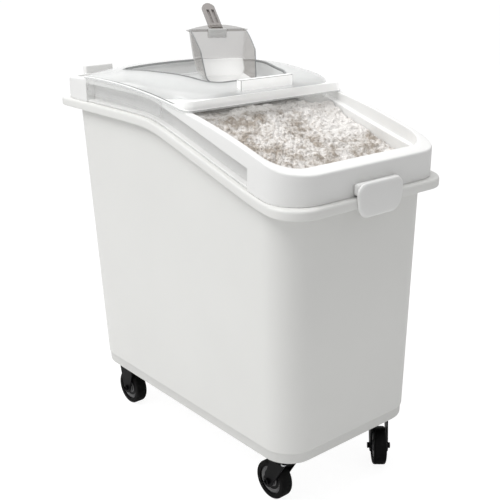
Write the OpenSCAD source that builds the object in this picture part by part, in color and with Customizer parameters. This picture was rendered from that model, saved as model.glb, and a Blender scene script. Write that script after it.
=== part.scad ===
// Rolling flour bin: a slope-fronted tub on four casters, a lift-off lid frame,
// a clear sliding cover on curved rails, a clear scoop lying in the cover's well, and flour inside.
// Millimetres, X across, Y from the low front (minus) to the rear (plus), Z up from the floor.

/* [Tub] */
// Length over the rim
rim_length = 745; // [600:5:900]
// Width over the rim
rim_width = 390; // [320:5:460]
// Plan radius of the rim corners
rim_corner = 57; // [40:1:80]
// Height of the turned-down rim
rim_height = 17; // [10:1:26]
// Height of the level rear rim above the floor
rim_rear_z = 683; // [560:5:800]
// Drop from the rear rim to the low front rim
rim_drop = 95; // [40:5:140]
// Share of the length behind the bend, measured from the rear
bend_rear_share = 0.479; // [0.4:0.005:0.55]
// Share of the length behind the foot of the slope, measured from the rear
bend_front_share = 0.905; // [0.8:0.005:0.93]
// Softness of both bends of the rim
bend_soft = 30; // [10:2:60]
// Thickness of the tub wall
tub_wall = 4; // [3:0.5:6]
// Thickness of the tub floor
tub_floor = 10; // [8:0.5:16]
// Height of the tub floor's underside above the ground
tub_base_z = 106; // [90:1:140]
// How far the side walls stand inside the rim at the top
side_overhang = 12; // [8:1:20]
// How far the front wall stands inside the rim
front_overhang = 34; // [26:1:44]
// How far the rear wall stands inside the rim at the top
rear_overhang = 55; // [40:1:70]
// How far each side wall leans in from top to base
side_taper = 13; // [4:1:24]
// How far the rear wall leans in from top to base
rear_taper = 38; // [10:1:60]
// Plan radius of the wall corners
tub_corner = 58; // [40:1:70]
// Height of the narrow band round the foot of the tub
foot_band_h = 19; // [10:1:30]
// Step in of that band
foot_band_in = 2; // [1:0.5:3]

/* [Lid frame] */
// How far the lid stands inside the rim at the sides
lid_side_in = 5; // [3:1:10]
// How far the lid stands inside the rim at the front
lid_front_in = 12.5; // [8:0.5:18]
// How far the lid stands inside the rim at the rear
lid_rear_in = 20; // [12:1:30]
// Plan radius of the lid corners
lid_corner = 66; // [50:1:80]
// Drop of the rails from their highest point to the front of the opening
crest_drop = 85.1; // [75:0.1:95]
// Distance of the rail's highest point from the rear end of the rim
crest_back = 193; // [150:1:240]
// Height of the rail's highest point above the rear rim
crest_rise = 48; // [40:1:60]
// Height of the front collar above the front rim
collar_h = 52; // [40:1:60]
// Width of the rail top
rail_w = 13; // [10:1:18]
// How far the lower wall stands inside the lid outline
recess_in = 18; // [14:1:24]
// Thickness of the lower wall
lower_wall = 6; // [4:0.5:8]
// Height of the side recess above the rim
recess_h = 37; // [28:1:38]
// Width of the front bar of the opening
front_bar = 34; // [28:1:44]
// Length of the opening along the lid
opening_l = 326; // [260:2:360]
// Length of the collar from the front of the lid to the recess
collar_l = 104; // [80:2:130]
// Distance of the recess from the rear of the lid
recess_back = 114.5; // [90:0.5:140]
// Thickness of the lid sheet
sheet = 4; // [3:0.5:5]
// Height of the rear deck above the rear rim
deck_rise = 15; // [8:1:20]
// Depth of the locating lip inside the tub
lip_depth = 12; // [8:1:20]
// Length of the rear stop block
stop_l = 66; // [40:1:90]
// Height of the stop block above the rail crest
stop_rise = 9; // [4:1:16]
// Distance of the stop block from the middle, towards the left
stop_x = 66; // [40:1:90]
// Width of the front lift tab
tab_w = 114; // [90:2:150]
// Width of the tab at its foot
tab_foot_w = 98; // [80:2:150]
// Height of the front lift tab
tab_h = 60; // [50:1:70]
// How far the tab stands in front of the rim
tab_proud = 7; // [5.5:0.5:12]
// Radius of the tab's upper corners
tab_corner = 24; // [10:1:30]
// Radius of the tab's lower corners
tab_foot_corner = 14; // [8:1:24]

/* [Sliding cover] */
// Thickness of the clear sheet
clear_t = 3; // [2.5:0.5:4]
// Length of the cover along the rails
cover_l = 348; // [330:2:390]
// Part of the opening left free in front of the open cover
cover_free = 228; // [200:2:260]
// Height of the dome above the rails
dome_h = 28; // [20:1:32]
// Depth of the side skirts below the rails
skirt_h = 30; // [20:1:32]
// Length of the side skirts
skirt_l = 252; // [200:2:300]
// Distance of the skirts from the cover's front edge
skirt_back = 76; // [50:1:90]
// Depth of the front lip below the rails
nose_h = 8; // [5:1:14]
// Half width of the scoop well at the front
well_half = 100; // [92:1:110]
// Flare of the well towards the rear, on each side
well_flare = 26; // [0:1:30]
// Length of the scoop well
well_l = 247; // [236:1:254]
// Distance of the well from the cover's front edge
well_back = 53; // [46:1:60]
// Height of the well floor above the rails at the cover's front edge
well_rise = 17.5; // [14:0.5:20]
// Length of the grip bar
grip_l = 126; // [80:2:150]
// Width of the grip bar
grip_w = 13; // [10:1:18]
// Height of the grip bar above the well floor's level
grip_rise = 26; // [20:1:30]

/* [Scoop] */
// Length of the scoop to its back wall
scoop_l = 150; // [140:1:170]
// Width of the scoop floor between its rounded edges
scoop_floor_w = 66; // [56:1:72]
// Radius of the scoop's long lower edges
scoop_edge_r = 18; // [10:1:22]
// Width over the top of the scoop at the back
scoop_top_w = 118; // [110:1:130]
// Height of the scoop at the back
scoop_h = 90; // [80:1:100]
// Height of the scoop sides at the mouth
mouth_h = 60; // [50:1:70]
// Lean of the mouth edge
mouth_lean = 40; // [20:1:50]
// Lean of the back wall
back_lean = 8; // [2:1:14]
// Length of the slanted heel
heel_l = 48; // [30:1:60]
// Height of the slanted heel
heel_h = 34; // [24:1:44]
// Wall of the scoop
scoop_wall = 2.5; // [2:0.5:4]
// Length of the handle behind the scoop
handle_l = 131; // [110:1:150]
// Width of the handle
handle_w = 30; // [22:1:36]
// Thickness of the handle
handle_t = 13; // [10:1:16]
// Rise of the handle, degrees
handle_tilt = 20; // [14:1:30]
// Turn of the scoop in its well, degrees
scoop_turn = -28; // [-34:1:-22]

/* [Flour] */
// Depth of the flour below the rails at the open cover's front edge
flour_sink = 31; // [24:1:50]
// Further sink of the flour towards the front of the opening
flour_slump = 17; // [0:1:30]
// Depth of the flour's level part below the rear rim
flour_level = 4; // [2:1:40]

/* [Casters] */
// Wheel diameter
wheel_d = 75; // [65:1:80]
// Wheel width
wheel_w = 25; // [20:1:30]
// Hub diameter
hub_d = 54; // [44:1:58]
// Axle diameter
axle_d = 8; // [6:1:10]
// Outer diameter of the axle sleeve
sleeve_d = 12; // [11:1:16]
// Sheet thickness of forks and plates
steel_t = 3; // [2:0.5:4]
// Trail of the swivel casters
trail = 28; // [20:1:34]
// Diameter of the swivel ring
swivel_d = 50; // [42:1:54]
// Diameter of the king pin
pin_d = 10; // [8:1:14]
// Length of the mounting plates
plate_l = 60; // [56:1:64]
// Width of the mounting plates
plate_w = 60; // [58:1:64]
// Bolt spacing along the plate
bolt_span_l = 44; // [42:1:46]
// Bolt spacing across the plate
bolt_span_w = 48; // [46:1:50]
// Bolt diameter
bolt_d = 6; // [5:1:8]
// Distance of each caster from the tub's foot at the side
caster_in = 44; // [40:1:60]
// Swivel pivot behind the front wall's foot
front_caster_in = 51; // [48:1:70]
// Rear wheel in front of the rear wall's foot
rear_caster_in = 60; // [52:1:80]
// Turn of the left swivel caster, degrees
turn_left = 0; // [-180:1:180]
// Turn of the right swivel caster, degrees
turn_right = 139; // [-180:1:180]

/* [Clearances] */
// Gap under pieces that only rest
seat_gap = 0.3; // [0.2:0.1:0.5]
// Gap between the cover and its rails
slide_gap = 0.6; // [0.4:0.1:1]
// Radial running fit of the wheels and pins
run_fit = 0.06; // [0.02:0.01:0.1]
// Radial fit of bolts in their holes
bolt_fit = 0.2; // [0.1:0.05:0.4]
// Side gap beside the wheels
wheel_gap = 2; // [1:0.5:3]
// Gap between fork and swivel ring
swivel_gap = 0.4; // [0.3:0.1:0.6]
// Gap between the tab and the rim
tab_gap = 0.6; // [0.5:0.1:1]
// Gap between the flour and the lid
flour_gap = 2; // [1:0.5:4]

/* [Hidden] */
$fn = 48;

fine = 360;
steps = 36;
over = 1;
tall = 1200;
wide = 600;
half_l = rim_length / 2;
shift_y = tab_proud / 2;
y_a = -half_l - over;
y_b = half_l + over;
bend_rear_y = half_l - rim_length * bend_rear_share;
bend_front_y = half_l - rim_length * bend_front_share;
rim_front_z = rim_rear_z - rim_drop;
rim_slope = rim_drop / (bend_rear_y - bend_front_y);
function soft(t) = (t + sqrt(t * t + bend_soft * bend_soft)) / 2;
function rim_z(y) = rim_front_z + rim_slope * (soft(y - bend_front_y) - soft(y - bend_rear_y));
rim_ys = [for (i = [0:steps]) y_a + (y_b - y_a) * i / steps];

tub_top_w = rim_width - 2 * side_overhang;
tub_front_y = -half_l + front_overhang;
tub_rear_y = half_l - rear_overhang;
base_w = tub_top_w - 2 * side_taper;
base_rear_y = tub_rear_y - rear_taper;

lid_w = rim_width - 2 * lid_side_in;
lid_front_y = -half_l + lid_front_in;
lid_rear_y = half_l - lid_rear_in;
crest_y = half_l - crest_back;
crest_z = rim_rear_z + crest_rise;
opening_front_y = lid_front_y + front_bar;
crest_run = crest_y - opening_front_y;
crest_radius = (crest_run * crest_run + crest_drop * crest_drop) / (2 * crest_drop);
axis_z = crest_z - crest_radius;
function arc_z(y, r) = axis_z + sqrt(r * r - (y - crest_y) * (y - crest_y));
collar_z = rim_front_z + collar_h;
opening_rear_y = opening_front_y + opening_l;
recess_front_y = lid_front_y + collar_l;
recess_rear_y = lid_rear_y - recess_back;
recess_l = recess_rear_y - recess_front_y;
deck_z = rim_rear_z + deck_rise;
lower_in = recess_in + lower_wall;
lip_in = lower_in - sheet;
front_step = 3;
ledge_rear_y = lid_rear_y - lid_corner;
stop_z = crest_z + stop_rise;
stop_foot_z = rim_rear_z + recess_h;
lip_rear_y = tub_rear_y - tub_corner;
tab_drop_share = 0.233;
tab_z = rim_front_z - rim_height + tab_h / 2 - tab_h * tab_drop_share;
tab_face_y = -half_l - tab_proud;
tab_back_y = -half_l - tab_gap;
neck_w_share = 0.9;
peg_d = 8;
peg_l = 3;
peg_x_share = 0.3;

cover_front_y = opening_front_y + cover_free;
cover_rear_y = cover_front_y + cover_l;
shelf_r = crest_radius + slide_gap;
skirt_in = slide_gap;
cover_w = lid_w + 2 * skirt_in + 2 * clear_t;
cover_corner = 16;
shelf_in = 20;
dome_corner = 14;
dome_edge_in = 2;
dome_mid_in = 5;
dome_top_in = 46;
dome_front_in = 16;
dome_fall_l = 180;
dome_rear_in = 110;
dome_rear_l = 40;
dome_mid_share = 0.62;
dome_rear_share = 0.6;
dome_root_share = 0.6;
skirt_front_y = cover_front_y + skirt_back;
skirt_rear_y = skirt_front_y + skirt_l;
nose_side_in = 30;
well_front_y = cover_front_y + well_back;
well_rear_y = well_front_y + well_l;
well_corner = 34;
well_z = arc_z(cover_front_y, shelf_r) + well_rise;
flare_from_share = 0.1;
flare_to_share = 0.55;
grip_back = 38;
grip_y = well_front_y - grip_back;

scoop_x = 6;
scoop_front_share = 0.2674;
scoop_y = well_front_y + well_l * scoop_front_share;
scoop_z = well_z + seat_gap;
scoop_side_x = scoop_floor_w / 2 + scoop_edge_r;
handle_z = scoop_h;
handle_round_share = 0.48;
slot_w_share = 0.2;
slot_l_share = 0.5;
slot_d_share = 0.3;

wheel_r = wheel_d / 2;
caster_x = base_w / 2 - caster_in;
front_caster_y = tub_front_y + front_caster_in;
rear_caster_y = base_rear_y - rear_caster_in;
fork_in = wheel_w / 2 + wheel_gap;
fork_out = fork_in + steel_t;
swivel_ring_h = 8;
plate_low_z = tub_base_z - steel_t;
fork_top_z = plate_low_z - swivel_ring_h - swivel_gap;
leg_tip_r = 12;
leg_top_w = 40;
bracket_top_w = 56;
bolt_head_h = 4;
bolt_head_d = 10;
bolt_grip = 6;
axle_head_h = 5;
axle_head_d = 13;
pin_head_d = 18;
pin_head_h = 3;
tyre_round = 4;
hub_dish_share = 0.2;
hub_ring_share = 0.62;
boss_share = 0.42;
cheek_cos = 0.97;
cheek_sin = 0.24;
six = 6;

module placed() translate([0, shift_y, 0]) children();
module rounded(w, y0, y1, r) {
    translate([-w / 2 + r, y0]) square([w - 2 * r, y1 - y0]);
    translate([-w / 2, y0 + r]) square([w, y1 - y0 - 2 * r]);
    for (s = [-1, 1])
        for (yy = [y0 + r, y1 - r])
            translate([s * (w / 2 - r), yy]) circle(r);
}
module plan(w, y0, y1, r) linear_extrude(height = tall) rounded(w, y0, y1, r);
module side(points) rotate([90, 0, 90]) linear_extrude(height = wide, center = true) polygon(points);
module over_rim(off)
    side(concat([for (y = rim_ys) [y, rim_z(y) + off]], [[y_b, tall], [y_a, tall]]));
module under_rim(off)
    side(concat([[y_a, 0], [y_b, 0]], [for (i = [steps:-1:0]) [rim_ys[i], rim_z(rim_ys[i]) + off]]));
module drum(r) translate([0, crest_y, axis_z]) rotate([0, 90, 0])
    cylinder(h = wide, r = r, center = true, $fn = fine);
module under_crest() {
    intersection() {
        drum(crest_radius);
        side([[opening_front_y, 0], [y_b, 0], [y_b, tall], [opening_front_y, tall]]);
    }
    side([[y_a, 0], [opening_front_y, 0], [opening_front_y, arc_z(opening_front_y, crest_radius)],
        [lid_front_y, collar_z], [y_a, collar_z]]);
}
module ends() {
    side([[y_a, 0], [recess_front_y - sheet, 0], [recess_front_y - sheet, tall], [y_a, tall]]);
    side([[recess_rear_y + sheet, 0], [y_b, 0], [y_b, tall], [recess_rear_y + sheet, tall]]);
}

// Tub with its turned-down, sloping rim
module tub_form(in, z0) hull() {
    translate([0, 0, z0]) linear_extrude(height = over)
        rounded(base_w - 2 * in, tub_front_y + in, base_rear_y - in, tub_corner - in);
    translate([0, 0, rim_rear_z]) linear_extrude(height = over)
        rounded(tub_top_w - 2 * in, tub_front_y + in, tub_rear_y - in, tub_corner - in);
}
module tub() color("white") placed() difference() {
    union() {
        intersection() {
            tub_form(0, tub_base_z + foot_band_h);
            under_rim(0);
        }
        translate([0, 0, tub_base_z]) linear_extrude(height = foot_band_h + over)
            rounded(base_w - 2 * foot_band_in, tub_front_y + foot_band_in, base_rear_y - foot_band_in,
                tub_corner - foot_band_in);
        intersection() {
            plan(rim_width, -half_l, half_l, rim_corner);
            over_rim(-rim_height);
            under_rim(0);
        }
    }
    tub_form(tub_wall, tub_base_z + tub_floor);
    difference() {
        intersection() {
            plan(rim_width - 2 * tub_wall, -half_l + tub_wall, half_l - tub_wall, rim_corner - tub_wall);
            over_rim(-rim_height - over);
            under_rim(-tub_wall);
        }
        plan(tub_top_w, tub_front_y, tub_rear_y, tub_corner);
    }
    at_bolts() translate([0, 0, tub_base_z - over])
        cylinder(h = bolt_grip + over, d = bolt_d + 2 * bolt_fit);
}

// Lid frame: rails, front collar, side recesses, locating lip, rear deck and stop
module lid_plan(in) plan(lid_w - 2 * in, lid_front_y + in, lid_rear_y - in, lid_corner - in);
module lid_frame() color("whitesmoke") placed() {
    difference() {
        union() {
            intersection() {
                lid_plan(0);
                over_rim(seat_gap);
                under_crest();
            }
            intersection() {
                plan(lid_w - 2 * lip_in, opening_front_y - sheet, lid_rear_y, lid_corner - lip_in);
                over_rim(-lip_depth);
                under_rim(seat_gap + over);
                side([[y_a, 0], [lip_rear_y, 0], [lip_rear_y, tall], [y_a, tall]]);
            }
        }
        intersection() {
            plan(lid_w - 2 * rail_w, opening_front_y - front_step, ledge_rear_y, lid_corner - rail_w);
            over_rim(recess_h + sheet);
        }
        plan(lid_w - 2 * lower_in, opening_front_y, lid_rear_y - lower_in, lid_corner - lower_in);
        for (s = [-1, 1]) intersection() {
            translate([s * lid_w / 2 - recess_in, recess_front_y, 0])
                cube([2 * recess_in, recess_l, tall]);
            over_rim(seat_gap + sheet);
            under_rim(recess_h);
        }
        intersection() {
            difference() {
                lid_plan(sheet);
                lid_plan(recess_in);
            }
            under_rim(recess_h - sheet);
            ends();
        }
        for (s = [-1, 1])
            translate([s * tab_w * peg_x_share, lid_front_y - over, neck_z()]) rotate([-90, 0, 0])
                cylinder(h = peg_l + over, d = peg_d + 2 * bolt_fit);
    }
    intersection() {
        lid_plan(lower_in - over);
        translate([-wide / 2, opening_rear_y, deck_z - sheet]) cube([wide, half_l, sheet]);
    }
    translate([-stop_x - stop_l, lid_rear_y - rail_w - sheet, stop_foot_z])
        cube([stop_l, rail_w, stop_z - stop_foot_z]);
}
function neck_z() = (rim_front_z + tab_z + tab_h / 2) / 2;

// Front lift tab, blank faced and narrower at its foot, plugged into the collar
module tab_outline() hull()
    for (s = [-1, 1]) {
        translate([s * (tab_w / 2 - tab_corner), tab_h / 2 - tab_corner]) circle(tab_corner);
        translate([s * (tab_foot_w / 2 - tab_foot_corner), tab_foot_corner - tab_h / 2])
            circle(tab_foot_corner);
    }
module lift_tab() color("gainsboro") placed() {
    translate([0, tab_back_y, tab_z]) rotate([90, 0, 0])
        linear_extrude(height = tab_back_y - tab_face_y) tab_outline();
    neck_lo = rim_front_z + seat_gap + sheet;
    translate([-tab_w * neck_w_share / 2, tab_back_y - over, neck_lo])
        cube([tab_w * neck_w_share, lid_front_y - tab_back_y + over, tab_z + tab_h / 2 - sheet - neck_lo]);
    for (s = [-1, 1])
        translate([s * tab_w * peg_x_share, lid_front_y - over, neck_z()]) rotate([-90, 0, 0])
            cylinder(h = peg_l, d = peg_d);
}

// Clear cover: side shelves on the rails, dome, skirts, front lip, scoop well and grip bar
module cover_layer(side_in, front_in, rear_in, lift) intersection() {
    plan(lid_w - 2 * side_in, cover_front_y + front_in, cover_rear_y - rear_in, dome_corner);
    difference() {
        drum(shelf_r + lift);
        drum(shelf_r + lift - over);
    }
}
module dome(in) hull() {
    edge = dome_edge_in + in;
    cover_layer(edge, edge, edge, clear_t * dome_root_share - in);
    cover_layer(dome_mid_in + in, dome_mid_in + in, dome_fall_l + in, dome_h * dome_mid_share - in);
    cover_layer(dome_top_in + in, dome_front_in + in, dome_fall_l + in, dome_h - in);
    cover_layer(dome_rear_in + in, cover_l - dome_rear_l - in, edge, dome_h * dome_rear_share - in);
}
function ease(t) = t <= 0 ? 0 : t >= 1 ? 1 : t * t * (3 - 2 * t);
function well_x(y, out) = out + well_half + well_flare
    * ease(((y - well_front_y) / well_l - flare_from_share) / (flare_to_share - flare_from_share));
module well_plan(out) {
    y0 = well_front_y - out;
    ym = well_front_y + well_corner;
    ys = [for (i = [0:steps]) ym + (well_rear_y + out - ym) * i / steps];
    linear_extrude(height = tall) {
        polygon(concat([for (y = ys) [-well_x(y, out), y]],
            [for (i = [steps:-1:0]) [well_x(ys[i], out), ys[i]]]));
        rounded(2 * (well_half + out), y0, ym + 2 * well_corner, well_corner + out);
    }
}
module sliding_cover() color("lightcyan", 0.5) placed() difference() {
    union() {
        intersection() {
            difference() {
                plan(cover_w, cover_front_y, cover_rear_y, cover_corner);
                plan(lid_w - 2 * rail_w - clear_t, cover_front_y + shelf_in, cover_rear_y - shelf_in,
                    dome_corner);
            }
            difference() {
                drum(shelf_r + clear_t);
                drum(shelf_r);
            }
        }
        difference() {
            dome(0);
            dome(clear_t);
            drum(shelf_r);
        }
        intersection() {
            difference() {
                plan(cover_w, skirt_front_y, skirt_rear_y, cover_corner / 2);
                translate([0, 0, -over]) linear_extrude(height = tall + 2 * over)
                    square([lid_w + 2 * skirt_in, 2 * rim_length], center = true);
            }
            difference() {
                drum(shelf_r + clear_t);
                drum(shelf_r - skirt_h);
            }
        }
        intersection() {
            translate([-lid_w / 2 + rail_w + nose_side_in, cover_front_y, 0])
                cube([lid_w - 2 * rail_w - 2 * nose_side_in, clear_t, tall]);
            difference() {
                drum(shelf_r + clear_t);
                drum(shelf_r - nose_h);
            }
        }
        intersection() {
            translate([0, 0, well_z - clear_t]) well_plan(clear_t);
            union() {
                dome(0);
                drum(shelf_r);
            }
        }
        translate([-grip_l / 2, grip_y, well_z]) rotate([90, 0, 90]) linear_extrude(height = grip_l)
            union() {
                translate([-grip_w / 2, 0]) square([grip_w, grip_rise - grip_w / 2]);
                translate([0, grip_rise - grip_w / 2]) circle(d = grip_w);
            }
    }
    translate([0, 0, well_z]) well_plan(0);
}

// Scoop: one prism with rounded lower edges, cut to its side outline
module at_scoop() placed() translate([scoop_x, scoop_y, scoop_z]) rotate([0, 0, scoop_turn]) children();
module scoop_section(in) {
    x = scoop_floor_w / 2;
    for (s = [-1, 1])
        translate([s * x, scoop_edge_r]) circle(scoop_edge_r - in);
    polygon([[-x, in], [x, in], [x, scoop_edge_r], [scoop_side_x - in, scoop_edge_r],
        [scoop_top_w / 2 - in, scoop_h + over], [in - scoop_top_w / 2, scoop_h + over],
        [in - scoop_side_x, scoop_edge_r], [-x, scoop_edge_r]]);
}
module scoop_prism(in) translate([0, 2 * scoop_l, 0]) rotate([90, 0, 0])
    linear_extrude(height = 3 * scoop_l) scoop_section(in);
module scoop_bowl() color("lightcyan", 0.5) at_scoop() difference() {
    intersection() {
        scoop_prism(0);
        side([[0, 0], [scoop_l - heel_l, 0], [scoop_l, heel_h], [scoop_l + back_lean, scoop_h],
            [mouth_lean, mouth_h]]);
    }
    intersection() {
        scoop_prism(scoop_wall);
        side([[-scoop_l, scoop_wall], [scoop_l - heel_l - scoop_wall, scoop_wall],
            [scoop_l - scoop_wall, heel_h + scoop_wall],
            [scoop_l + back_lean - scoop_wall, scoop_h + over], [-scoop_l, scoop_h + over]]);
    }
}
module scoop_handle() color("dimgray", 0.8) at_scoop() difference() {
    translate([0, scoop_l, handle_z]) rotate([handle_tilt, 0, 0]) difference() {
        translate([0, 0, -handle_t]) linear_extrude(height = handle_t)
            rounded(handle_w, -handle_w, handle_l, handle_w * handle_round_share);
        for (s = [-1, 1])
            translate([s * handle_w * slot_w_share - handle_w * slot_w_share / 2,
                handle_l * (1 - slot_l_share) / 2, -handle_t * slot_d_share])
                cube([handle_w * slot_w_share, handle_l * slot_l_share, handle_t]);
    }
    side([[-scoop_l, 0], [scoop_l, 0], [scoop_l, heel_h], [scoop_l + back_lean, scoop_h],
        [scoop_l + 2 * back_lean, 2 * scoop_h], [-scoop_l, 2 * scoop_h]]);
}

// Flour: fills the tub and heaps up into the lid's opening
function flour_z(y) = min(rim_rear_z - flour_level, arc_z(y, crest_radius) - flour_sink
    - flour_slump * max(0, (cover_front_y - y) / cover_free));
module flour() color("linen") placed() {
    intersection() {
        tub_form(tub_wall + seat_gap, tub_base_z + tub_floor + seat_gap);
        under_rim(-lip_depth - flour_gap);
    }
    intersection() {
        plan(lid_w - 2 * (lower_in + flour_gap), opening_front_y + flour_gap, lip_rear_y - flour_gap,
            lid_corner - lower_in - flour_gap);
        over_rim(-lip_depth - flour_gap - over);
        side(concat([[y_a, 0], [y_b, 0]], [for (i = [steps:-1:0]) [rim_ys[i], flour_z(rim_ys[i])]]));
    }
}

// Casters
module at_plates() for (s = [-1, 1]) {
    translate([s * caster_x, front_caster_y, 0]) children();
    translate([s * caster_x, rear_caster_y, 0]) children();
}
module at_bolts() at_plates()
    for (a = [-1, 1])
        for (b = [-1, 1])
            translate([a * bolt_span_w / 2, b * bolt_span_l / 2, 0]) children();
module caster_bolts() color("silver") placed() at_bolts() {
    translate([0, 0, plate_low_z - bolt_head_h])
        cylinder(h = bolt_head_h, d = bolt_head_d, $fn = six);
    translate([0, 0, plate_low_z - over])
        cylinder(h = steel_t + over + bolt_grip - seat_gap, d = bolt_d);
}
module plate_body(hole) difference() {
    translate([0, 0, plate_low_z]) linear_extrude(height = steel_t)
        rounded(plate_w, -plate_l / 2, plate_l / 2, bolt_head_d / 2);
    for (a = [-1, 1])
        for (b = [-1, 1])
            translate([a * bolt_span_w / 2, b * bolt_span_l / 2, plate_low_z - over])
                cylinder(h = steel_t + 2 * over, d = bolt_d + 2 * bolt_fit);
    translate([0, 0, plate_low_z - over]) cylinder(h = steel_t + 2 * over, d = hole);
}
module at_front(s) placed() translate([s * caster_x, front_caster_y, 0]) children();
module at_rear(s) placed() translate([s * caster_x, rear_caster_y, 0]) children();
module turned(s) at_front(s) rotate([0, 0, s < 0 ? turn_left : turn_right]) children();
module wheel_at(s) turned(s) translate([0, trail, wheel_r]) rotate([0, 90, 0]) children();
module rear_wheel_at(s) at_rear(s) translate([0, 0, wheel_r]) rotate([0, 90, 0]) children();
module plate(s) color("dimgray") at_front(s) plate_body(pin_d + 2 * bolt_fit);
module swivel_ring(s) color("gray") at_front(s)
    translate([0, 0, plate_low_z - swivel_ring_h]) difference() {
        cylinder(h = swivel_ring_h, d = swivel_d);
        translate([0, 0, -over]) cylinder(h = swivel_ring_h + 2 * over, d = pin_d + 2 * bolt_fit);
    }
module king_pin(s) color("silver") at_front(s) {
    translate([0, 0, fork_top_z - steel_t - swivel_gap])
        cylinder(h = tub_base_z - fork_top_z + steel_t + swivel_gap, d = pin_d);
    translate([0, 0, fork_top_z - steel_t - swivel_gap - pin_head_h])
        cylinder(h = pin_head_h, d = pin_head_d);
}
// Cheek of a fork in the plane of the wheel, from a top edge down to the axle
module cheek(top_y, top_z, side_w) difference() {
    union() {
        translate([0, wheel_r]) circle(leg_tip_r);
        polygon([[top_y - side_w / 2, top_z], [top_y + side_w / 2, top_z],
            [leg_tip_r * cheek_cos, wheel_r - leg_tip_r * cheek_sin],
            [-leg_tip_r * cheek_cos, wheel_r - leg_tip_r * cheek_sin]]);
    }
    translate([0, wheel_r]) circle(d = axle_d + 2 * bolt_fit);
}
module cheeks(top_y, top_z, side_w) for (x = [-fork_out, fork_in])
    translate([x, 0, 0]) rotate([90, 0, 90]) linear_extrude(height = steel_t) cheek(top_y, top_z, side_w);
module fork(s) color("black") turned(s) difference() {
    union() {
        translate([0, 0, fork_top_z - steel_t]) cylinder(h = steel_t, d = swivel_d);
        translate([0, trail, 0]) cheeks(-trail, fork_top_z, leg_top_w);
    }
    translate([0, 0, fork_top_z - steel_t - over]) cylinder(h = steel_t + 2 * over, d = pin_d + 2 * run_fit);
}
module bracket(s) color("black") at_rear(s) {
    plate_body(pin_d);
    cheeks(0, plate_low_z, bracket_top_w);
}
module axle_body() {
    cylinder(h = 2 * fork_out + axle_head_h, d = axle_d, center = true);
    translate([0, 0, fork_out]) cylinder(h = axle_head_h, d = axle_head_d, $fn = six);
}
module nut_body() translate([0, 0, -fork_out - axle_head_h]) difference() {
    cylinder(h = axle_head_h, d = axle_head_d, $fn = six);
    translate([0, 0, -over]) cylinder(h = axle_head_h + 2 * over, d = axle_d + 2 * bolt_fit);
}
module sleeve_body() difference() {
    cylinder(h = 2 * fork_in - seat_gap, d = sleeve_d, center = true);
    cylinder(h = 2 * fork_in + over, d = axle_d + 2 * bolt_fit, center = true);
}
module hub_body() difference() {
    union() {
        cylinder(h = wheel_w * (1 - hub_dish_share), d = hub_d, center = true);
        cylinder(h = wheel_w + wheel_gap, d = hub_d * boss_share, center = true);
    }
    for (m = [0, 1])
        mirror([0, 0, m]) translate([0, 0, wheel_w * (1 - 2 * hub_dish_share) / 2]) difference() {
            cylinder(h = wheel_w, d = hub_d * (1 + hub_ring_share) / 2);
            translate([0, 0, -over]) cylinder(h = 2 * wheel_w, d = hub_d * boss_share);
        }
    cylinder(h = 2 * wheel_w, d = sleeve_d + 2 * run_fit, center = true);
}
module tyre_body() rotate_extrude($fn = fine / 4) difference() {
    union() {
        translate([hub_d / 2, -wheel_w / 2]) square([wheel_r - hub_d / 2 - tyre_round, wheel_w]);
        translate([hub_d / 2, -wheel_w / 2 + tyre_round])
            square([wheel_r - hub_d / 2, wheel_w - 2 * tyre_round]);
        for (m = [-1, 1])
            translate([wheel_r - tyre_round, m * (wheel_w / 2 - tyre_round)]) circle(tyre_round);
    }
}

tub();
lid_frame();
lift_tab();
sliding_cover();
scoop_bowl();
scoop_handle();
flour();
caster_bolts();
plate(-1);  // plate_fl
swivel_ring(-1);  // swivel_ring_fl
king_pin(-1);  // king_pin_fl
fork(-1);  // fork_fl
color("silver") wheel_at(-1) axle_body();  // axle_fl
color("silver") wheel_at(-1) nut_body();  // nut_fl
color("gray") wheel_at(-1) sleeve_body();  // sleeve_fl
color("dimgray") wheel_at(-1) hub_body();  // hub_fl
color("black") wheel_at(-1) tyre_body();  // tyre_fl
plate(1);  // plate_fr
swivel_ring(1);  // swivel_ring_fr
king_pin(1);  // king_pin_fr
fork(1);  // fork_fr
color("silver") wheel_at(1) axle_body();  // axle_fr
color("silver") wheel_at(1) nut_body();  // nut_fr
color("gray") wheel_at(1) sleeve_body();  // sleeve_fr
color("dimgray") wheel_at(1) hub_body();  // hub_fr
color("black") wheel_at(1) tyre_body();  // tyre_fr
bracket(-1);  // bracket_rl
color("silver") rear_wheel_at(-1) axle_body();  // axle_rl
color("silver") rear_wheel_at(-1) nut_body();  // nut_rl
color("gray") rear_wheel_at(-1) sleeve_body();  // sleeve_rl
color("dimgray") rear_wheel_at(-1) hub_body();  // hub_rl
color("black") rear_wheel_at(-1) tyre_body();  // tyre_rl
bracket(1);  // bracket_rr
color("silver") rear_wheel_at(1) axle_body();  // axle_rr
color("silver") rear_wheel_at(1) nut_body();  // nut_rr
color("gray") rear_wheel_at(1) sleeve_body();  // sleeve_rr
color("dimgray") rear_wheel_at(1) hub_body();  // hub_rr
color("black") rear_wheel_at(1) tyre_body();  // tyre_rr
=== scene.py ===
"""Rolling flour bin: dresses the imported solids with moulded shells, clear pieces, flour and a studio."""
import math

import bmesh
import bpy
from bpy.props import FloatProperty, FloatVectorProperty, PointerProperty
from mathutils import Matrix, Vector, noise


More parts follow.
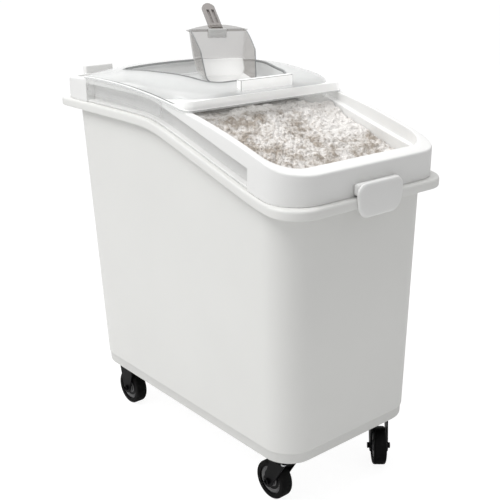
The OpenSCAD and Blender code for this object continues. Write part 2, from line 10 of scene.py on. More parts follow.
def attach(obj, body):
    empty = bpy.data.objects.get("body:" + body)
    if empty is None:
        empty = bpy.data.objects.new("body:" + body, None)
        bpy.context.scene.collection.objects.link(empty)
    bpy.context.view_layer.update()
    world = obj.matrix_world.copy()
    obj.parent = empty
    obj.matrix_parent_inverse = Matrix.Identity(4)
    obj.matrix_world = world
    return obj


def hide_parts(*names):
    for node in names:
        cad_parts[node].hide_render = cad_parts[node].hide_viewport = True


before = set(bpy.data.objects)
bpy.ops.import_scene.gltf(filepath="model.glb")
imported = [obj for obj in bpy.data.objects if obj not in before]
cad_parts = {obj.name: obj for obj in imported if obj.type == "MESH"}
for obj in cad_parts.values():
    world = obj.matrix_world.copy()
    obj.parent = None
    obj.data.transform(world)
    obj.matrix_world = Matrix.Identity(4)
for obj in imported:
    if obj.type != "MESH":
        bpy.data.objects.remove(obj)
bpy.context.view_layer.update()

bl_info = {
    "name": "Rolling flour bin",
    "version": (1, 0, 0),
    "blender": (4, 5, 0),
    "location": "View3D > Sidebar > Flour Bin",
    "description": "Builds the visible pieces of a slope-fronted flour bin around its solids",
    "category": "Object",
}

MM = 0.001


def metres(x, y, z):
    """A point or a size in metres, given in millimetres."""
    return Vector((x * MM, y * MM, z * MM))


def length(label, text, value):
    """A size in metres, given in millimetres."""
    return FloatProperty(name=label, description=text, default=value * MM, unit="LENGTH", precision=4)


def tint(label, text, value):
    """A colour a user may change."""
    return FloatVectorProperty(name=label, description=text, default=value, subtype="COLOR", size=3,
                               min=0.0, max=1.0)


class FLOURBIN_PG_tub(bpy.types.PropertyGroup):
    """Sizes of the tub and its rim"""
    shift: length("Shift", "Offset of the whole outline along Y", 3.5)
    rim_half: length("Rim half width", "Half of the width over the rim", 195)
    rim_end: length("Rim half length", "Half of the length over the rim", 372.5)
    rim_corner: length("Rim corner", "Plan radius of the rim corners", 57)
    rim_height: length("Rim height", "Height of the turned-down rim", 17)
    rim_rear: length("Rear rim", "Height of the level rear rim", 683)
    rim_drop: length("Rim drop", "Drop from the rear rim to the front rim", 95)
    bend_rear: length("Upper bend", "Y of the bend at the top of the slope", 15.6)
    bend_front: length("Lower bend", "Y of the bend at the foot of the slope", -301.7)
    bend_soft: length("Bend softness", "Softness of both bends", 30)
    wall: length("Wall", "Thickness of the tub wall", 4)
    base: length("Base", "Height of the underside", 106)
    floor: length("Floor", "Thickness of the tub floor", 10)
    band: length("Foot band", "Height of the narrow band round the foot", 21)
    band_in: length("Band step", "Step in of the foot band", 2)
    top_half: length("Top half width", "Half width of the walls at rear rim height", 183)
    base_half: length("Base half width", "Half width of the walls at the base", 170)
    front: length("Front wall", "Y of the front wall", -338.5)
    rear_top: length("Rear wall top", "Y of the rear wall at rim height", 317.5)
    rear_base: length("Rear wall base", "Y of the rear wall at the base", 279.5)
    corner: length("Wall corner", "Plan radius of the wall corners", 58)


class FLOURBIN_PG_lid(bpy.types.PropertyGroup):
    """Sizes of the lid frame, the sliding cover and the lift tab"""
    half: length("Half width", "Half width of the lid frame", 190)
    front: length("Front", "Y of the lid's front face", -360)
    rear: length("Rear", "Y of the lid's rear face", 352.5)
    corner: length("Corner", "Plan radius of the lid corners", 66)
    crest_r: length("Crest radius", "Radius of the curved rails", 1543.9)
    crest_y: length("Crest place", "Y of the highest point of the rails", 179.5)
    crest_z: length("Crest height", "Height of the highest point of the rails", 731)
    collar_z: length("Collar height", "Height of the front edge", 640)
    opening_front: length("Opening front", "Y of the front edge of the opening", -326)
    recess_front: length("Recess front", "Y of the front end of the side recess", -256)
    recess_rear: length("Recess rear", "Y of the rear end of the side recess", 238)
    recess_h: length("Recess height", "Height of the side recess above the rim", 37)
    recess_in: length("Recess depth", "Depth of the side recess", 18)
    rail: length("Rail", "Width of the rail top", 13)
    lower_in: length("Lower wall", "Inner face of the lower wall from the outline", 24)
    deck_z: length("Deck", "Height of the rear deck", 698)
    cover_front: length("Cover front", "Y of the open cover's front edge", -98)
    cover_rear: length("Cover rear", "Y of the open cover's rear edge", 250)
    sheet: length("Clear sheet", "Thickness of the clear sheet", 3)
    well_z: length("Well floor", "Height of the scoop well's floor", 724)


class FLOURBIN_PG_look(bpy.types.PropertyGroup):
    """Colours of the finishes"""
    tub: tint("Tub", "White of the tub", (0.80, 0.80, 0.78))
    lid: tint("Lid", "White of the lid frame", (0.86, 0.86, 0.85))
    tab: tint("Tab", "White of the lift tab", (0.84, 0.84, 0.83))
    clear: tint("Clear", "Tint of the clear plastic", (0.80, 0.81, 0.805))
    # Painted shade: the dark lines that clear plastic shows along its edges
    edge: tint("Clear edge", "Tint of the clear plastic where it is seen edge on", (0.20, 0.21, 0.21))
    well: tint("Well", "Tint of the clear plastic in the scoop's well", (0.78, 0.79, 0.79))
    scoop: tint("Scoop", "Tint of the scoop's clear walls", (0.27, 0.245, 0.22))
    smoke: tint("Handle", "Grey-brown of the scoop handle", (0.25, 0.23, 0.22))
    flour: tint("Flour", "White of the flour", (0.87, 0.845, 0.82))
    # Painted shade: the grey-brown laid between the flour's clumps
    flour_shade: tint("Flour shade", "Grey-brown between the clumps", (0.42, 0.37, 0.32))
    black: tint("Black paint", "Black of the caster steel", (0.003, 0.003, 0.0035))
    # Painted highlight: the grey laid on the hubs' eased edges
    ring: tint("Hub ring", "Grey of the hubs' eased edges", (0.12, 0.12, 0.122))
    rubber: tint("Rubber", "Black of the tyres", (0.003, 0.003, 0.003))


class Wire:
    """A shader socket that takes part in Python expressions."""

    def __init__(self, tree, socket):
        self.tree = tree
        self.socket = socket

    @classmethod
    def node(cls, tree, kind, settings=(), sockets=(), out=0):
        """Adds any node: its settings first, then the values or links of its sockets."""
        made = tree.nodes.new(kind)
        for key, value in dict(settings).items():
            if key == "stops":
                ramp = made.color_ramp
                while len(ramp.elements) < len(value):
                    ramp.elements.new(0.5)
                for element, (place, colour) in zip(ramp.elements, value):
                    element.position = place
                    element.color = (*colour, 1.0)
            else:
                setattr(made, key, value)
        for key, value in dict(sockets).items():
            target = made.inputs[key]
            if isinstance(value, Wire):
                tree.links.new(value.socket, target)
            else:
                target.default_value = value
        return cls(tree, made.outputs[out]) if len(made.outputs) else made

    def _math(self, operation, first, second):
        return Wire.node(self.tree, "ShaderNodeMath", {"operation": operation}, {0: first, 1: second})

    def __add__(self, other):
        return self._math("ADD", self, other)

    __radd__ = __add__

    def __mul__(self, other):
        return self._math("MULTIPLY", self, other)

    __rmul__ = __mul__

    def __sub__(self, other):
        return self._math("SUBTRACT", self, other)

    def __rsub__(self, other):
        return self._math("SUBTRACT", other, self)

    def __pow__(self, other):
        return self._math("POWER", self, other)

    def __rpow__(self, other):
        return self._math("POWER", other, self)


def toned(colour, share):
    """A colour made darker or lighter by a share."""
    return tuple(share * c for c in colour)


def new_tree(name):
    """A fresh material with its node tree and principled shader."""
    material = bpy.data.materials.new(name)
    material.use_nodes = True
    tree = material.node_tree
    shader = next(n for n in tree.nodes if n.type == "BSDF_PRINCIPLED")
    return material, tree, shader


def put(tree, shader, socket, value):
    """Sets a constant on a shader socket or links a varying value to it."""
    if isinstance(value, Wire):
        tree.links.new(value.socket, shader.inputs[socket])
    else:
        shader.inputs[socket].default_value = value


def place(tree):
    """Position in the object's own space."""
    return Wire.node(tree, "ShaderNodeTexCoord", out=3)


def grain(tree, where, scale, detail=3.0, rough=0.5):
    """Even noise between 0 and 1."""
    return Wire.node(tree, "ShaderNodeTexNoise", {}, {"Vector": where, "Scale": scale, "Detail": detail,
                                                      "Roughness": rough})


def blend(tree, factor, low, high):
    """Mix of two colours by a factor."""
    def full(value):
        return value if isinstance(value, Wire) else (*value[:3], 1.0)
    return Wire.node(tree, "ShaderNodeMix", {"data_type": "RGBA"}, {0: factor, 6: full(low), 7: full(high)},
                     out=2)


def relief(tree, height, strength, distance):
    """Bump for the Normal socket."""
    return Wire.node(tree, "ShaderNodeBump", {}, {"Height": height, "Strength": strength,
                                                  "Distance": distance})


def moulded(name, colour, rough, texture=0.08):
    """Moulded plastic: faint flow marks, a fine surface grain and slight scuffs."""
    material, tree, shader = new_tree(name)
    where = place(tree)
    flow = grain(tree, where, scale=5.0, detail=4.0)
    fine = grain(tree, where, scale=900.0, detail=2.0)
    scuff = grain(tree, where, scale=42.0, detail=6.0, rough=0.7)
    put(tree, shader, "Base Color", blend(tree, flow, toned(colour, 0.94), colour))
    put(tree, shader, "Roughness", scuff * 0.16 + (rough - 0.08))
    put(tree, shader, "Normal", relief(tree, fine + flow * 0.4, strength=texture, distance=0.6 * MM))
    put(tree, shader, "Specular IOR Level", 0.35)
    return material


def clear_sheet(name, colour, thin, edge, rough=0.06, glow=0.0):
    """Clear moulded plastic: nearly see-through face on, denser where it is seen edge on; the glow is painted
    light, an emission that stands for light that the sheet carries inside."""
    material, tree, shader = new_tree(name)
    where = place(tree)
    facing = Wire.node(tree, "ShaderNodeLayerWeight", {}, {"Blend": 0.35}, out=1)
    haze = grain(tree, where, scale=14.0, detail=4.0)
    ripple = grain(tree, where, scale=60.0, detail=2.0)
    put(tree, shader, "Base Color", blend(tree, haze, toned(colour, 0.93), colour))
    put(tree, shader, "Roughness", haze * 0.08 + rough)
    put(tree, shader, "Alpha", facing ** 2.0 * (edge - thin) + (haze * 0.06 + (thin - 0.03)))
    put(tree, shader, "Normal", relief(tree, ripple, strength=0.03, distance=MM))
    put(tree, shader, "IOR", 1.49)
    put(tree, shader, "Emission Strength", glow)
    return material


def enamel(name, colour, rough, coat, shine=0.12):
    """Glossy black paint or plastic with slight orange peel."""
    material, tree, shader = new_tree(name)
    where = place(tree)
    peel = grain(tree, where, scale=240.0, detail=2.0)
    wear = grain(tree, where, scale=30.0, detail=5.0, rough=0.7)
    put(tree, shader, "Base Color", blend(tree, wear, colour, toned(colour, 1.6)))
    put(tree, shader, "Roughness", wear * 0.12 + (rough - 0.05))
    put(tree, shader, "Normal", relief(tree, peel, strength=0.05, distance=0.8 * MM))
    put(tree, shader, "Specular IOR Level", shine)
    put(tree, shader, "Coat Weight", coat)
    put(tree, shader, "Coat Roughness", 0.08)
    return material


def bright_steel(name):
    """Plain bright steel with turned streaks."""
    material, tree, shader = new_tree(name)
    where = place(tree)
    streak = grain(tree, where, scale=300.0, detail=4.0, rough=0.6)
    put(tree, shader, "Base Color", blend(tree, streak, (0.42, 0.43, 0.44), (0.62, 0.63, 0.64)))
    put(tree, shader, "Roughness", streak * 0.2 + 0.25)
    put(tree, shader, "Metallic", 1.0)
    return material


def flour_finish(name, colour, shade):
    """Loose flour: white lumps, grey-brown painted shade between them that thins out to the right and rear,
    and powder grain.
    """
    material, tree, shader = new_tree(name)
    where = place(tree)
    patch = grain(tree, where, scale=15.0, detail=3.0, rough=0.55)
    clump = grain(tree, where, scale=52.0, detail=5.0, rough=0.6)
    crumb = grain(tree, where, scale=150.0, detail=3.0)
    powder = grain(tree, where, scale=1400.0, detail=2.0)
    across = Wire.node(tree, "ShaderNodeSeparateXYZ", {}, {0: where}, out=0)
    behind = Wire(tree, across.socket.node.outputs[1])
    # Painted shade: more between the clumps, and more towards the left and front
    painted_hollow_shade = patch * 0.45 + clump * 0.45 + crumb * 0.35 - across * 0.36 - behind * 0.4
    shaded = Wire.node(tree, "ShaderNodeValToRGB", {"stops": [(0.63, (0, 0, 0)), (0.80, (1, 1, 1))]},
                       {"Fac": painted_hollow_shade})
    put(tree, shader, "Base Color", blend(tree, shaded, colour, shade))
    put(tree, shader, "Roughness", powder * 0.1 + 0.85)
    lumps = clump * 0.5 + crumb * 0.5 + powder * 0.05
    put(tree, shader, "Normal", relief(tree, lumps, strength=1.0, distance=12 * MM))
    put(tree, shader, "Specular IOR Level", 0.15)
    return material


# Steps of an outline: round a corner, along half an end, and on a long side beside and along the side recess
CORNER_STEPS, EDGE_STEPS, END_STEPS, SIDE_STEPS = 10, 8, 4, 34
# Half the length over which the side recess ends, and the distance at which points merge
SLIVER, MERGE = 0.8 * MM, 1e-6
# Edges that turn by more than this stay sharp
SHARP = math.radians(38)
# Rounds in which a height and a place that depend on each other settle
SETTLING = 4
# Middle of a plate's round edge as a share of its radius, and the share of an inset that its corners lose
PLATE_EDGE_SHARE, PLATE_CORNER_SHARE = 0.3, 0.5


def tub_sizes():
    """Sizes of the tub in this scene."""
    return bpy.context.scene.flour_bin_tub


def lid_sizes():
    """Sizes of the lid and the cover in this scene."""
    return bpy.context.scene.flour_bin_lid


def look():
    """Colours in this scene."""
    return bpy.context.scene.flour_bin_look


def soft(t, w):
    """Nothing below zero and t above it, with a soft bend of width w."""
    return (t + math.sqrt(t * t + w * w)) / 2


def ease(t):
    """Smooth step from 0 to 1."""
    t = min(1.0, max(0.0, t))
    return t * t * (3 - 2 * t)


def quarter(steps):
    """Angles over a quarter turn, both ends included."""
    return [math.pi / 2 * k / steps for k in range(steps + 1)]


def rounding(steps):
    """Pairs of 1 - cos and 1 - sin over a quarter turn, for the points of a round edge."""
    return [(1 - math.cos(a), 1 - math.sin(a)) for a in quarter(steps)]


def flat(z):
    """One height all along the bin."""
    return lambda y: z


def over(base, up):
    """A height that follows another one at a distance along the bin."""
    return lambda y: base(y) + up


def span(low, high, count):
    """Even places from low up to, but without, high."""
    return [low + (high - low) * k / count for k in range(count)]


def even(count):
    """Even sampling of a long side."""
    return lambda low, high: span(low, high, count)


def along(profile, at):
    """Value of a profile of pairs at a place between them."""
    for (a, low), (b, high) in zip(profile, profile[1:]):
        if at <= b:
            return low + (high - low) * max(0.0, at - a) / (b - a)
    return profile[-1][1]


def rim_z(y):
    """Height of the rim's top at a place along the bin."""
    t = tub_sizes()
    slope = t.rim_drop / (t.bend_rear - t.bend_front)
    return (t.rim_rear - t.rim_drop
            + slope * (soft(y - t.bend_front, t.bend_soft) - soft(y - t.bend_rear, t.bend_soft)))


def arc_z(y, lift=0.0):
    """Height of a curve concentric with the rails."""
    lid = lid_sizes()
    r = lid.crest_r + lift
    return lid.crest_z - lid.crest_r + math.sqrt(r * r - (y - lid.crest_y) ** 2)


def crest_z(y):
    """Height of the lid's top edge."""
    lid = lid_sizes()
    if y >= lid.opening_front:
        return arc_z(y)
    share = (lid.opening_front - y) / (lid.opening_front - lid.front)
    return arc_z(lid.opening_front) * (1 - share) + lid.collar_z * share


def side_places(low, high):
    """Places along a long side, with a pair at each end of the side recess."""
    lid = lid_sizes()
    a, b = lid.recess_front, min(lid.recess_rear, high - 4 * SLIVER)
    return (span(low, a - SLIVER, END_STEPS) + [a - SLIVER] + span(a + SLIVER, b - SLIVER, SIDE_STEPS)
            + [b - SLIVER, b + SLIVER] + span(b + SLIVER, high, END_STEPS)[1:])


def loop(half, y0, y1, r, rear_r=None, edge=EDGE_STEPS, corner=CORNER_STEPS, sides=side_places):
    """Points round a rounded rectangle, the same number for every size: (x, y, on a long side)."""
    q = r if rear_r is None else rear_r
    turns = quarter(corner)[:-1]
    right = [((half - r) * k / edge, y0, False) for k in range(edge)]
    right += [(half - r + r * math.sin(a), y0 + r - r * math.cos(a), False) for a in turns]
    right += [(half, y, True) for y in sides(y0 + r, y1 - q)]
    right += [(half - q + q * math.cos(a), y1 - q + q * math.sin(a), False) for a in turns]
    right += [((half - q) * (1 - k / edge), y1, False) for k in range(edge)]
    return right + [(0.0, y1, False)] + [(-x, y, s) for x, y, s in reversed(right[1:])]


def plain_loop(half, y0, y1, r, steps=8):
    """Rounded rectangle with bare sides."""
    points = []
    for cx, cy, start in ((half - r, y0 + r, -90), (half - r, y1 - r, 0),
                          (r - half, y1 - r, 90), (r - half, y0 + r, 180)):
        for k in range(steps + 1):
            a = math.radians(start + 90 * k / steps)
            points.append((cx + r * math.cos(a), cy + r * math.sin(a)))
    return points


def lay(places, height):
    """Points over the places of an outline; height gives Z at X and Y."""
    shift = tub_sizes().shift
    return [Vector((x, y + shift, height(x, y))) for x, y, *_ in places]


def mesh_object(name, build):
    """A smooth-shaded object from a bmesh builder, with sharp edges kept."""
    bm = bmesh.new()
    build(bm)
    bmesh.ops.remove_doubles(bm, verts=bm.verts, dist=MERGE)
    bmesh.ops.recalc_face_normals(bm, faces=bm.faces)
    for face in bm.faces:
        face.smooth = True
    for edge in bm.edges:
        edge.smooth = len(edge.link_faces) != 2 or edge.calc_face_angle(0.0) < SHARP
    mesh = bpy.data.meshes.new(name)
    bm.to_mesh(mesh)
    bm.free()
    made = bpy.data.objects.new(name, mesh)
    bpy.context.scene.collection.objects.link(made)
    return made


def loft(bm, loops, closed=False, first=False, last=False, marks=0):
    """Skin over loops of equal length, whose ends may be capped. Marks gives the strips their materials: one
    for all, or a table by strip of indices or of functions of the place."""
    rings = [[bm.verts.new(p) for p in points] for points in loops]
    pairs = list(zip(rings, rings[1:])) + ([(rings[-1], rings[0])] if closed else [])
    for strip, (low, high) in enumerate(pairs):
        mark = marks.get(strip, 0) if isinstance(marks, dict) else marks
        count = len(low)
        for k in range(count):
            n = (k + 1) % count
            face = bm.faces.new((low[k], low[n], high[n], high[k]))
            face.material_index = mark(face.calc_center_median()) if callable(mark) else mark
    if first:
        bm.faces.new(list(reversed(rings[0])))
    if last:
        bm.faces.new(rings[-1])


def block(bm, centre, size, r):
    """Box with rounded edges."""
    made = bmesh.ops.create_cube(bm, size=1.0)
    for v in made["verts"]:
        v.co = Vector((v.co.x * size.x, v.co.y * size.y, v.co.z * size.z)) + centre
    edges = {e for v in made["verts"] for e in v.link_edges}
    bmesh.ops.bevel(bm, geom=list(edges), offset=r, segments=3, profile=0.5, affect="EDGES")


def slab(bm, half, front, rear, r, low, high, edge):
    """Flat plate with eased edges."""
    turn = PLATE_EDGE_SHARE * edge
    loops = []
    for inset, z in ((edge * 2, low), (edge, low), (turn, low + turn), (0, low + edge),
                     (0, high - edge), (turn, high - turn), (edge, high), (edge * 2, high)):
        outline = plain_loop(half - inset, front + inset, rear - inset, r - PLATE_CORNER_SHARE * inset)
        loops.append(lay(outline, lambda x, y, z=z: z))
    loft(bm, loops, first=True, last=True)


def finish_piece(piece, body, slot, node, *materials):
    """Materials, body and replaced node of a new piece; the slot is not used."""
    for material in materials:
        piece.data.materials.append(material)
    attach(piece, body)
    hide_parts(node)


def wall_outlines(inset, **steps):
    """Pairs of places on the tub wall: at its base and at the height of the rear rim."""
    t = tub_sizes()
    low = loop(t.base_half - inset, t.front + inset, t.rear_base - inset, t.corner - inset, **steps)
    high = loop(t.top_half - inset, t.front + inset, t.rear_top - inset, t.corner - inset, **steps)
    return zip(low, high)


def wall_share(z):
    """Share of the way from the tub's base to its rear rim."""
    t = tub_sizes()
    return (z - t.base) / (t.rim_rear - t.base)


def wall_point(low, high, z):
    """Point at a height on the line between a pair of places on the wall."""
    (xa, ya, _), (xb, yb, _) = low, high
    h = wall_share(z)
    return Vector((xa + (xb - xa) * h, ya + (yb - ya) * h + tub_sizes().shift, z))


def wall_loop(inset, height):
    """Loop round the tub wall; height gives Z at a place along the bin."""
    points = []
    for low, high in wall_outlines(inset):
        h = 0.5
        for _ in range(SETTLING):
            z = height(low[1] + (high[1] - low[1]) * h)
            h = wall_share(z)
        points.append(wall_point(low, high, z))
    return points


def rim_loop(inset, drop):
    """Loop round the rim at a drop below its top."""
    t = tub_sizes()
    outline = loop(t.rim_half - inset, -t.rim_end + inset, t.rim_end - inset, t.rim_corner - inset)
    return lay(outline, lambda x, y: rim_z(y) - drop)


# Radii of the tub's edges: under the foot, on the rim, inside the mouth and round the floor
FOOT_EDGE, RIM_EDGE, MOUTH_EDGE, FLOOR_EDGE = 3.5 * MM, 5 * MM, 2.5 * MM, 14 * MM
# Upper end of the foot band: share of its step in, and height from its top in millimetres
BAND_END = ((1.0, -1.4), (0.8, -0.5), (0.2, 0.8), (0.0, 1.8))
# Inset of the flat underside, distance of the plain wall from band and rim, and of the inside from the rim
UNDERSIDE_IN, WALL_START, INNER_START = 6 * FOOT_EDGE, 3 * MM, 4 * MM
# Rings on the plain wall and on the inside, and the place of the foot band's material, a darker copy of the
# tub white that paints shade on the stepped-in band
WALL_RINGS, INNER_RINGS, BAND_SHADE = 8, 6, 1
# Wall where it meets the rim: inset, and drop below the rim's sheet, in millimetres
WALL_TOP = ((0, 3), (-1.2, 0.6))
# Underside and turned-down edge of the rim: inset, and drop from its top, in millimetres
RIM_UNDER = ((5.5, 4), (4, 5.5), (4, 16), (3.2, 16.9), (1.0, 17), (0.2, 16.4), (0, 15.5))


class FLOURBIN_OT_tub(bpy.types.Operator):
    """Moulds the tub with its foot band and turned-down rim"""
    bl_idname = "flour_bin.tub"
    bl_label = "Tub"

    def execute(self, context):
        t = tub_sizes()
        loops = [wall_loop(t.band_in + UNDERSIDE_IN, flat(t.base))]
        loops += [wall_loop(t.band_in + FOOT_EDGE * s, flat(t.base + FOOT_EDGE * c)) for c, s in rounding(5)]
        band = t.base + t.band
        loops += [wall_loop(t.band_in * share, flat(band + up * MM)) for share, up in BAND_END]
        marks = dict.fromkeys(range(len(loops) - 1), BAND_SHADE)
        foot = band + WALL_START
        under = t.rim_height + WALL_START
        for k in range(WALL_RINGS + 1):
            loops.append(wall_loop(0, lambda y, k=k: foot + (rim_z(y) - under - foot) * k / WALL_RINGS))
        loops += [wall_loop(inset * MM, over(rim_z, -t.wall - drop * MM)) for inset, drop in WALL_TOP]
        loops += [rim_loop(inset * MM, drop * MM) for inset, drop in RIM_UNDER]
        loops += [rim_loop(RIM_EDGE * c, RIM_EDGE * s) for c, s in rounding(5)]
        loops += [wall_loop(t.wall - MOUTH_EDGE * s, over(rim_z, -MOUTH_EDGE * c)) for c, s in rounding(3)]
        inside = t.base + t.floor + FLOOR_EDGE
        for k in range(INNER_RINGS + 1):
            loops.append(wall_loop(t.wall, lambda y, k=k: rim_z(y) - INNER_START
                                   + (inside - rim_z(y) + INNER_START) * k / INNER_RINGS))
        loops += [wall_loop(t.wall + FLOOR_EDGE * c, flat(inside - FLOOR_EDGE * (1 - s)))
                  for c, s in rounding(4)[1:]]
        piece = mesh_object("tub_shell", lambda bm: loft(bm, loops, first=True, last=True, marks=marks))
        # The second material is painted shade: the tub white made darker on the foot band
        finish_piece(piece, "bin", "tub", "tub", moulded("tub_white", look().tub, rough=0.42),
                     moulded("tub_band_painted_shade", toned(look().tub, 0.9), rough=0.5))
        return {"FINISHED"}


def lid_loop(inset, height, groove=0.0):
    """Loop round the lid outline; a groove moves the points of the side recess further in."""
    t, lid = tub_sizes(), lid_sizes()
    points = []
    for x, y, side in loop(lid.half - inset, lid.front + inset, lid.rear - inset, lid.corner - inset):
        if side and lid.recess_front < y < lid.recess_rear:
            x -= math.copysign(groove, x)
        points.append(Vector((x, y + t.shift, height(y))))
    return points


# Outer face of the lid frame, in millimetres. Foot: inset, height over the rim, cut at the recess.
LID_FOOT = ((0.8, 0.3, 4), (0, 1.1, 4), (0, 3.5, 4), (0, 4.3, 4.8))
# Recess: height over the rim, or from the recess's top, and what the cut lacks of its full depth
RECESS_FOOT = ((4.5, 3), (5.2, 1), (7.3, 0))
RECESS_TOP = ((-4, 0), (-1.2, 1.2), (0, 4))
# Edge over the recess: height from the recess's top, and cut
RECESS_EDGE = ((0.2, 1.2), (1.2, 0))
# Least rail above the recess, and the drop of the ledge inside the rails
RECESS_ROOF, LEDGE_DROP = 6 * MM, 4 * MM
# Edge radii: outside and inside on the rails, and further in
TOP_EDGE, RAIL_EDGE, LID_EASE = 3.5 * MM, 1.6 * MM, 1 * MM
# Width of the ledge behind the collar, and of the rail at the rear
COLLAR_STEP, REAR_RAIL = 3 * MM, 20 * MM
# Locating lip: thickness, drop into the tub and rear end; the lid's seat over the rim, before and behind it
LIP_WALL, LIP_DROP, LIP_END, LID_SEAT, REAR_SEAT = 4 * MM, 12 * MM, 259 * MM, 0.3 * MM, 0.4 * MM
# The lip's outer side: the rounding at its foot, and its step out at the seat
LIP_ROUND, LIP_GAP = 0.9 * MM, 0.2 * MM
# The rear deck: front edge, corner, sheet, edge radius and overlap with the wall
DECK_FRONT, DECK_CORNER, DECK_SHEET, DECK_EDGE, DECK_OVER = 0.0, 10 * MM, 4 * MM, 1.2 * MM, 0.5 * MM
# The stop block: X, distance from the lid's rear, Z, edge radius and size
STOP_X, STOP_BACK, STOP_Z, STOP_EDGE = -99 * MM, 10.5 * MM, 729 * MM, 3 * MM
STOP_SIZE = metres(66, 13, 22)
# Place of the recess's material, a darker copy of the lid white that paints the shade in the side recess
RECESS_SHADE = 1


class FLOURBIN_OT_lid(bpy.types.Operator):
    """Moulds the lid frame with its rails, recesses, lip, deck and stop"""
    bl_idname = "flour_bin.lid"
    bl_label = "Lid frame"

    def execute(self, context):
        t, lid = tub_sizes(), lid_sizes()
        depth = lid.recess_in

        def recess_top(y):
            return min(rim_z(y) + lid.recess_h, crest_z(y) - RECESS_ROOF)

        def ledge(y):
            return min(rim_z(y) + lid.recess_h + LEDGE_DROP, crest_z(y) - LEDGE_DROP)

        def lip(y):
            return rim_z(y) + (-LIP_DROP if y < LIP_END else REAR_SEAT)

        def out(outline, by, height):
            half, front, rear, r = outline
            return lay(loop(half + by, front - by, rear + by, r + by), lambda x, y: height(y))

        loops = [lid_loop(inset * MM, over(rim_z, up * MM), cut * MM) for inset, up, cut in LID_FOOT]
        loops += [lid_loop(0, over(rim_z, up * MM), depth - less * MM) for up, less in RECESS_FOOT]
        loops += [lid_loop(0, over(recess_top, up * MM), depth - less * MM) for up, less in RECESS_TOP]
        recess_strips = range(len(LID_FOOT), len(loops))
        loops += [lid_loop(0, over(recess_top, up * MM), cut * MM) for up, cut in RECESS_EDGE]
        loops += [lid_loop(TOP_EDGE * c, over(crest_z, -TOP_EDGE * s)) for c, s in rounding(4)]
        rail = (lid.half - lid.rail, lid.opening_front - COLLAR_STEP, lid.rear - REAR_RAIL,
                lid.corner - lid.rail)
        low = (lid.half - lid.lower_in, lid.opening_front, lid.rear - lid.lower_in,
               lid.corner - lid.lower_in)
        loops += [out(rail, RAIL_EDGE * s, over(crest_z, -RAIL_EDGE * c)) for c, s in rounding(3)]
        loops += [out(rail, 0, over(ledge, LID_EASE)), out(rail, -LID_EASE, ledge), out(low, LID_EASE, ledge),
                  out(low, 0, over(ledge, -LID_EASE)), out(low, 0, over(lip, LID_EASE)),
                  out(low, LID_EASE, lip), out(low, LIP_WALL - LID_EASE, lip),
                  out(low, LIP_WALL, lambda y: lip(y) + (LIP_ROUND if y < LIP_END else 0)),
                  out(low, LIP_WALL + LIP_GAP,
                      lambda y: rim_z(y) + (LID_SEAT if y < LIP_END else REAR_SEAT))]

        # Faces inside the side recess get the painted shade
        def shade(at):
            return RECESS_SHADE if lid.recess_front < at.y - t.shift < lid.recess_rear else 0

        def build(bm):
            loft(bm, loops, closed=True, marks=dict.fromkeys(recess_strips, shade))
            slab(bm, lid.half - lid.lower_in + DECK_OVER, DECK_FRONT, lid.rear - lid.lower_in, DECK_CORNER,
                 lid.deck_z - DECK_SHEET, lid.deck_z, DECK_EDGE)
            block(bm, Vector((STOP_X, lid.rear - STOP_BACK + t.shift, STOP_Z)), STOP_SIZE, STOP_EDGE)

        piece = mesh_object("lid_frame_shell", build)
        # The second material is painted shade: the lid white made darker in the recess
        finish_piece(piece, "lid", "lid", "lid_frame", moulded("lid_white", look().lid, rough=0.38),
                     moulded("lid_recess_painted_shade", toned(look().lid, 0.88), rough=0.5))
        return {"FINISHED"}


# The lift tab: its face, back and middle, half its width and height, its corner, edge and taper
TAB_FACE, TAB_BACK, TAB_MID = -379.5 * MM, -373.1 * MM, 584 * MM
TAB_HALF, TAB_RISE, TAB_CORNER, TAB_EDGE, TAB_TAPER = 57 * MM, 30 * MM, 22 * MM, 6.5 * MM, 0.14
# Rings of the tab's back, and of its bulged face: inset, and distance in front of the back or behind the face
TAB_BACK_RINGS = ((6, 0), (1, 0), (0.2, 0.4), (0, 1))
TAB_FACE_RINGS = ((9, 0.45), (14, 0.2), (18, 0))
# Bulge of the face inside its edge, and the edge's depth as a share of its width
TAB_BULGE, TAB_EDGE_SHARE = 0.8 * MM, 0.65
# Share of an inset that the corner loses; the taper's start above the middle and its span, over the height
TAB_CORNER_SHARE, TAPER_START, TAPER_SPAN = 0.6, 0.3, 0.8
# The neck: Y, Z, edge radius and size
NECK_Y, NECK_Z, NECK_EDGE = -366.6 * MM, 602.4 * MM, 5 * MM
NECK_SIZE = metres(103, 13.4, 20.6)


class FLOURBIN_OT_tab(bpy.types.Operator):
    """Moulds the bare lift tab with rounded edges and its neck"""
    bl_idname = "flour_bin.tab"
    bl_label = "Lift tab"

    def execute(self, context):
        t = tub_sizes()

        def ring(inset, y):
            """Outline of the tab at an inset: wide shoulders, narrower foot."""
            points = []
            for x, z in plain_loop(TAB_HALF - inset, inset - TAB_RISE, TAB_RISE - inset,
                                   TAB_CORNER - inset * TAB_CORNER_SHARE):
                taper = TAB_TAPER * max(0.0, TAPER_START - z / (2 * TAB_RISE)) / TAPER_SPAN
                points.append(Vector((x * (1 - taper), y + t.shift, TAB_MID + z)))
            return points

        def build(bm):
            loops = [ring(inset * MM, TAB_BACK - front * MM) for inset, front in TAB_BACK_RINGS]
            loops += [ring(TAB_EDGE * c, TAB_FACE + TAB_BULGE + TAB_EDGE * s * TAB_EDGE_SHARE)
                      for c, s in rounding(5)]
            loops += [ring(inset * MM, TAB_FACE + behind * MM) for inset, behind in TAB_FACE_RINGS]
            loft(bm, loops, first=True, last=True)
            block(bm, Vector((0, NECK_Y + t.shift, NECK_Z)), NECK_SIZE, NECK_EDGE)

        piece = mesh_object("lift_tab_shell", build)
        finish_piece(piece, "lid", "tab", "lift_tab", moulded("tab_plastic", look().tab, rough=0.34))
        return {"FINISHED"}


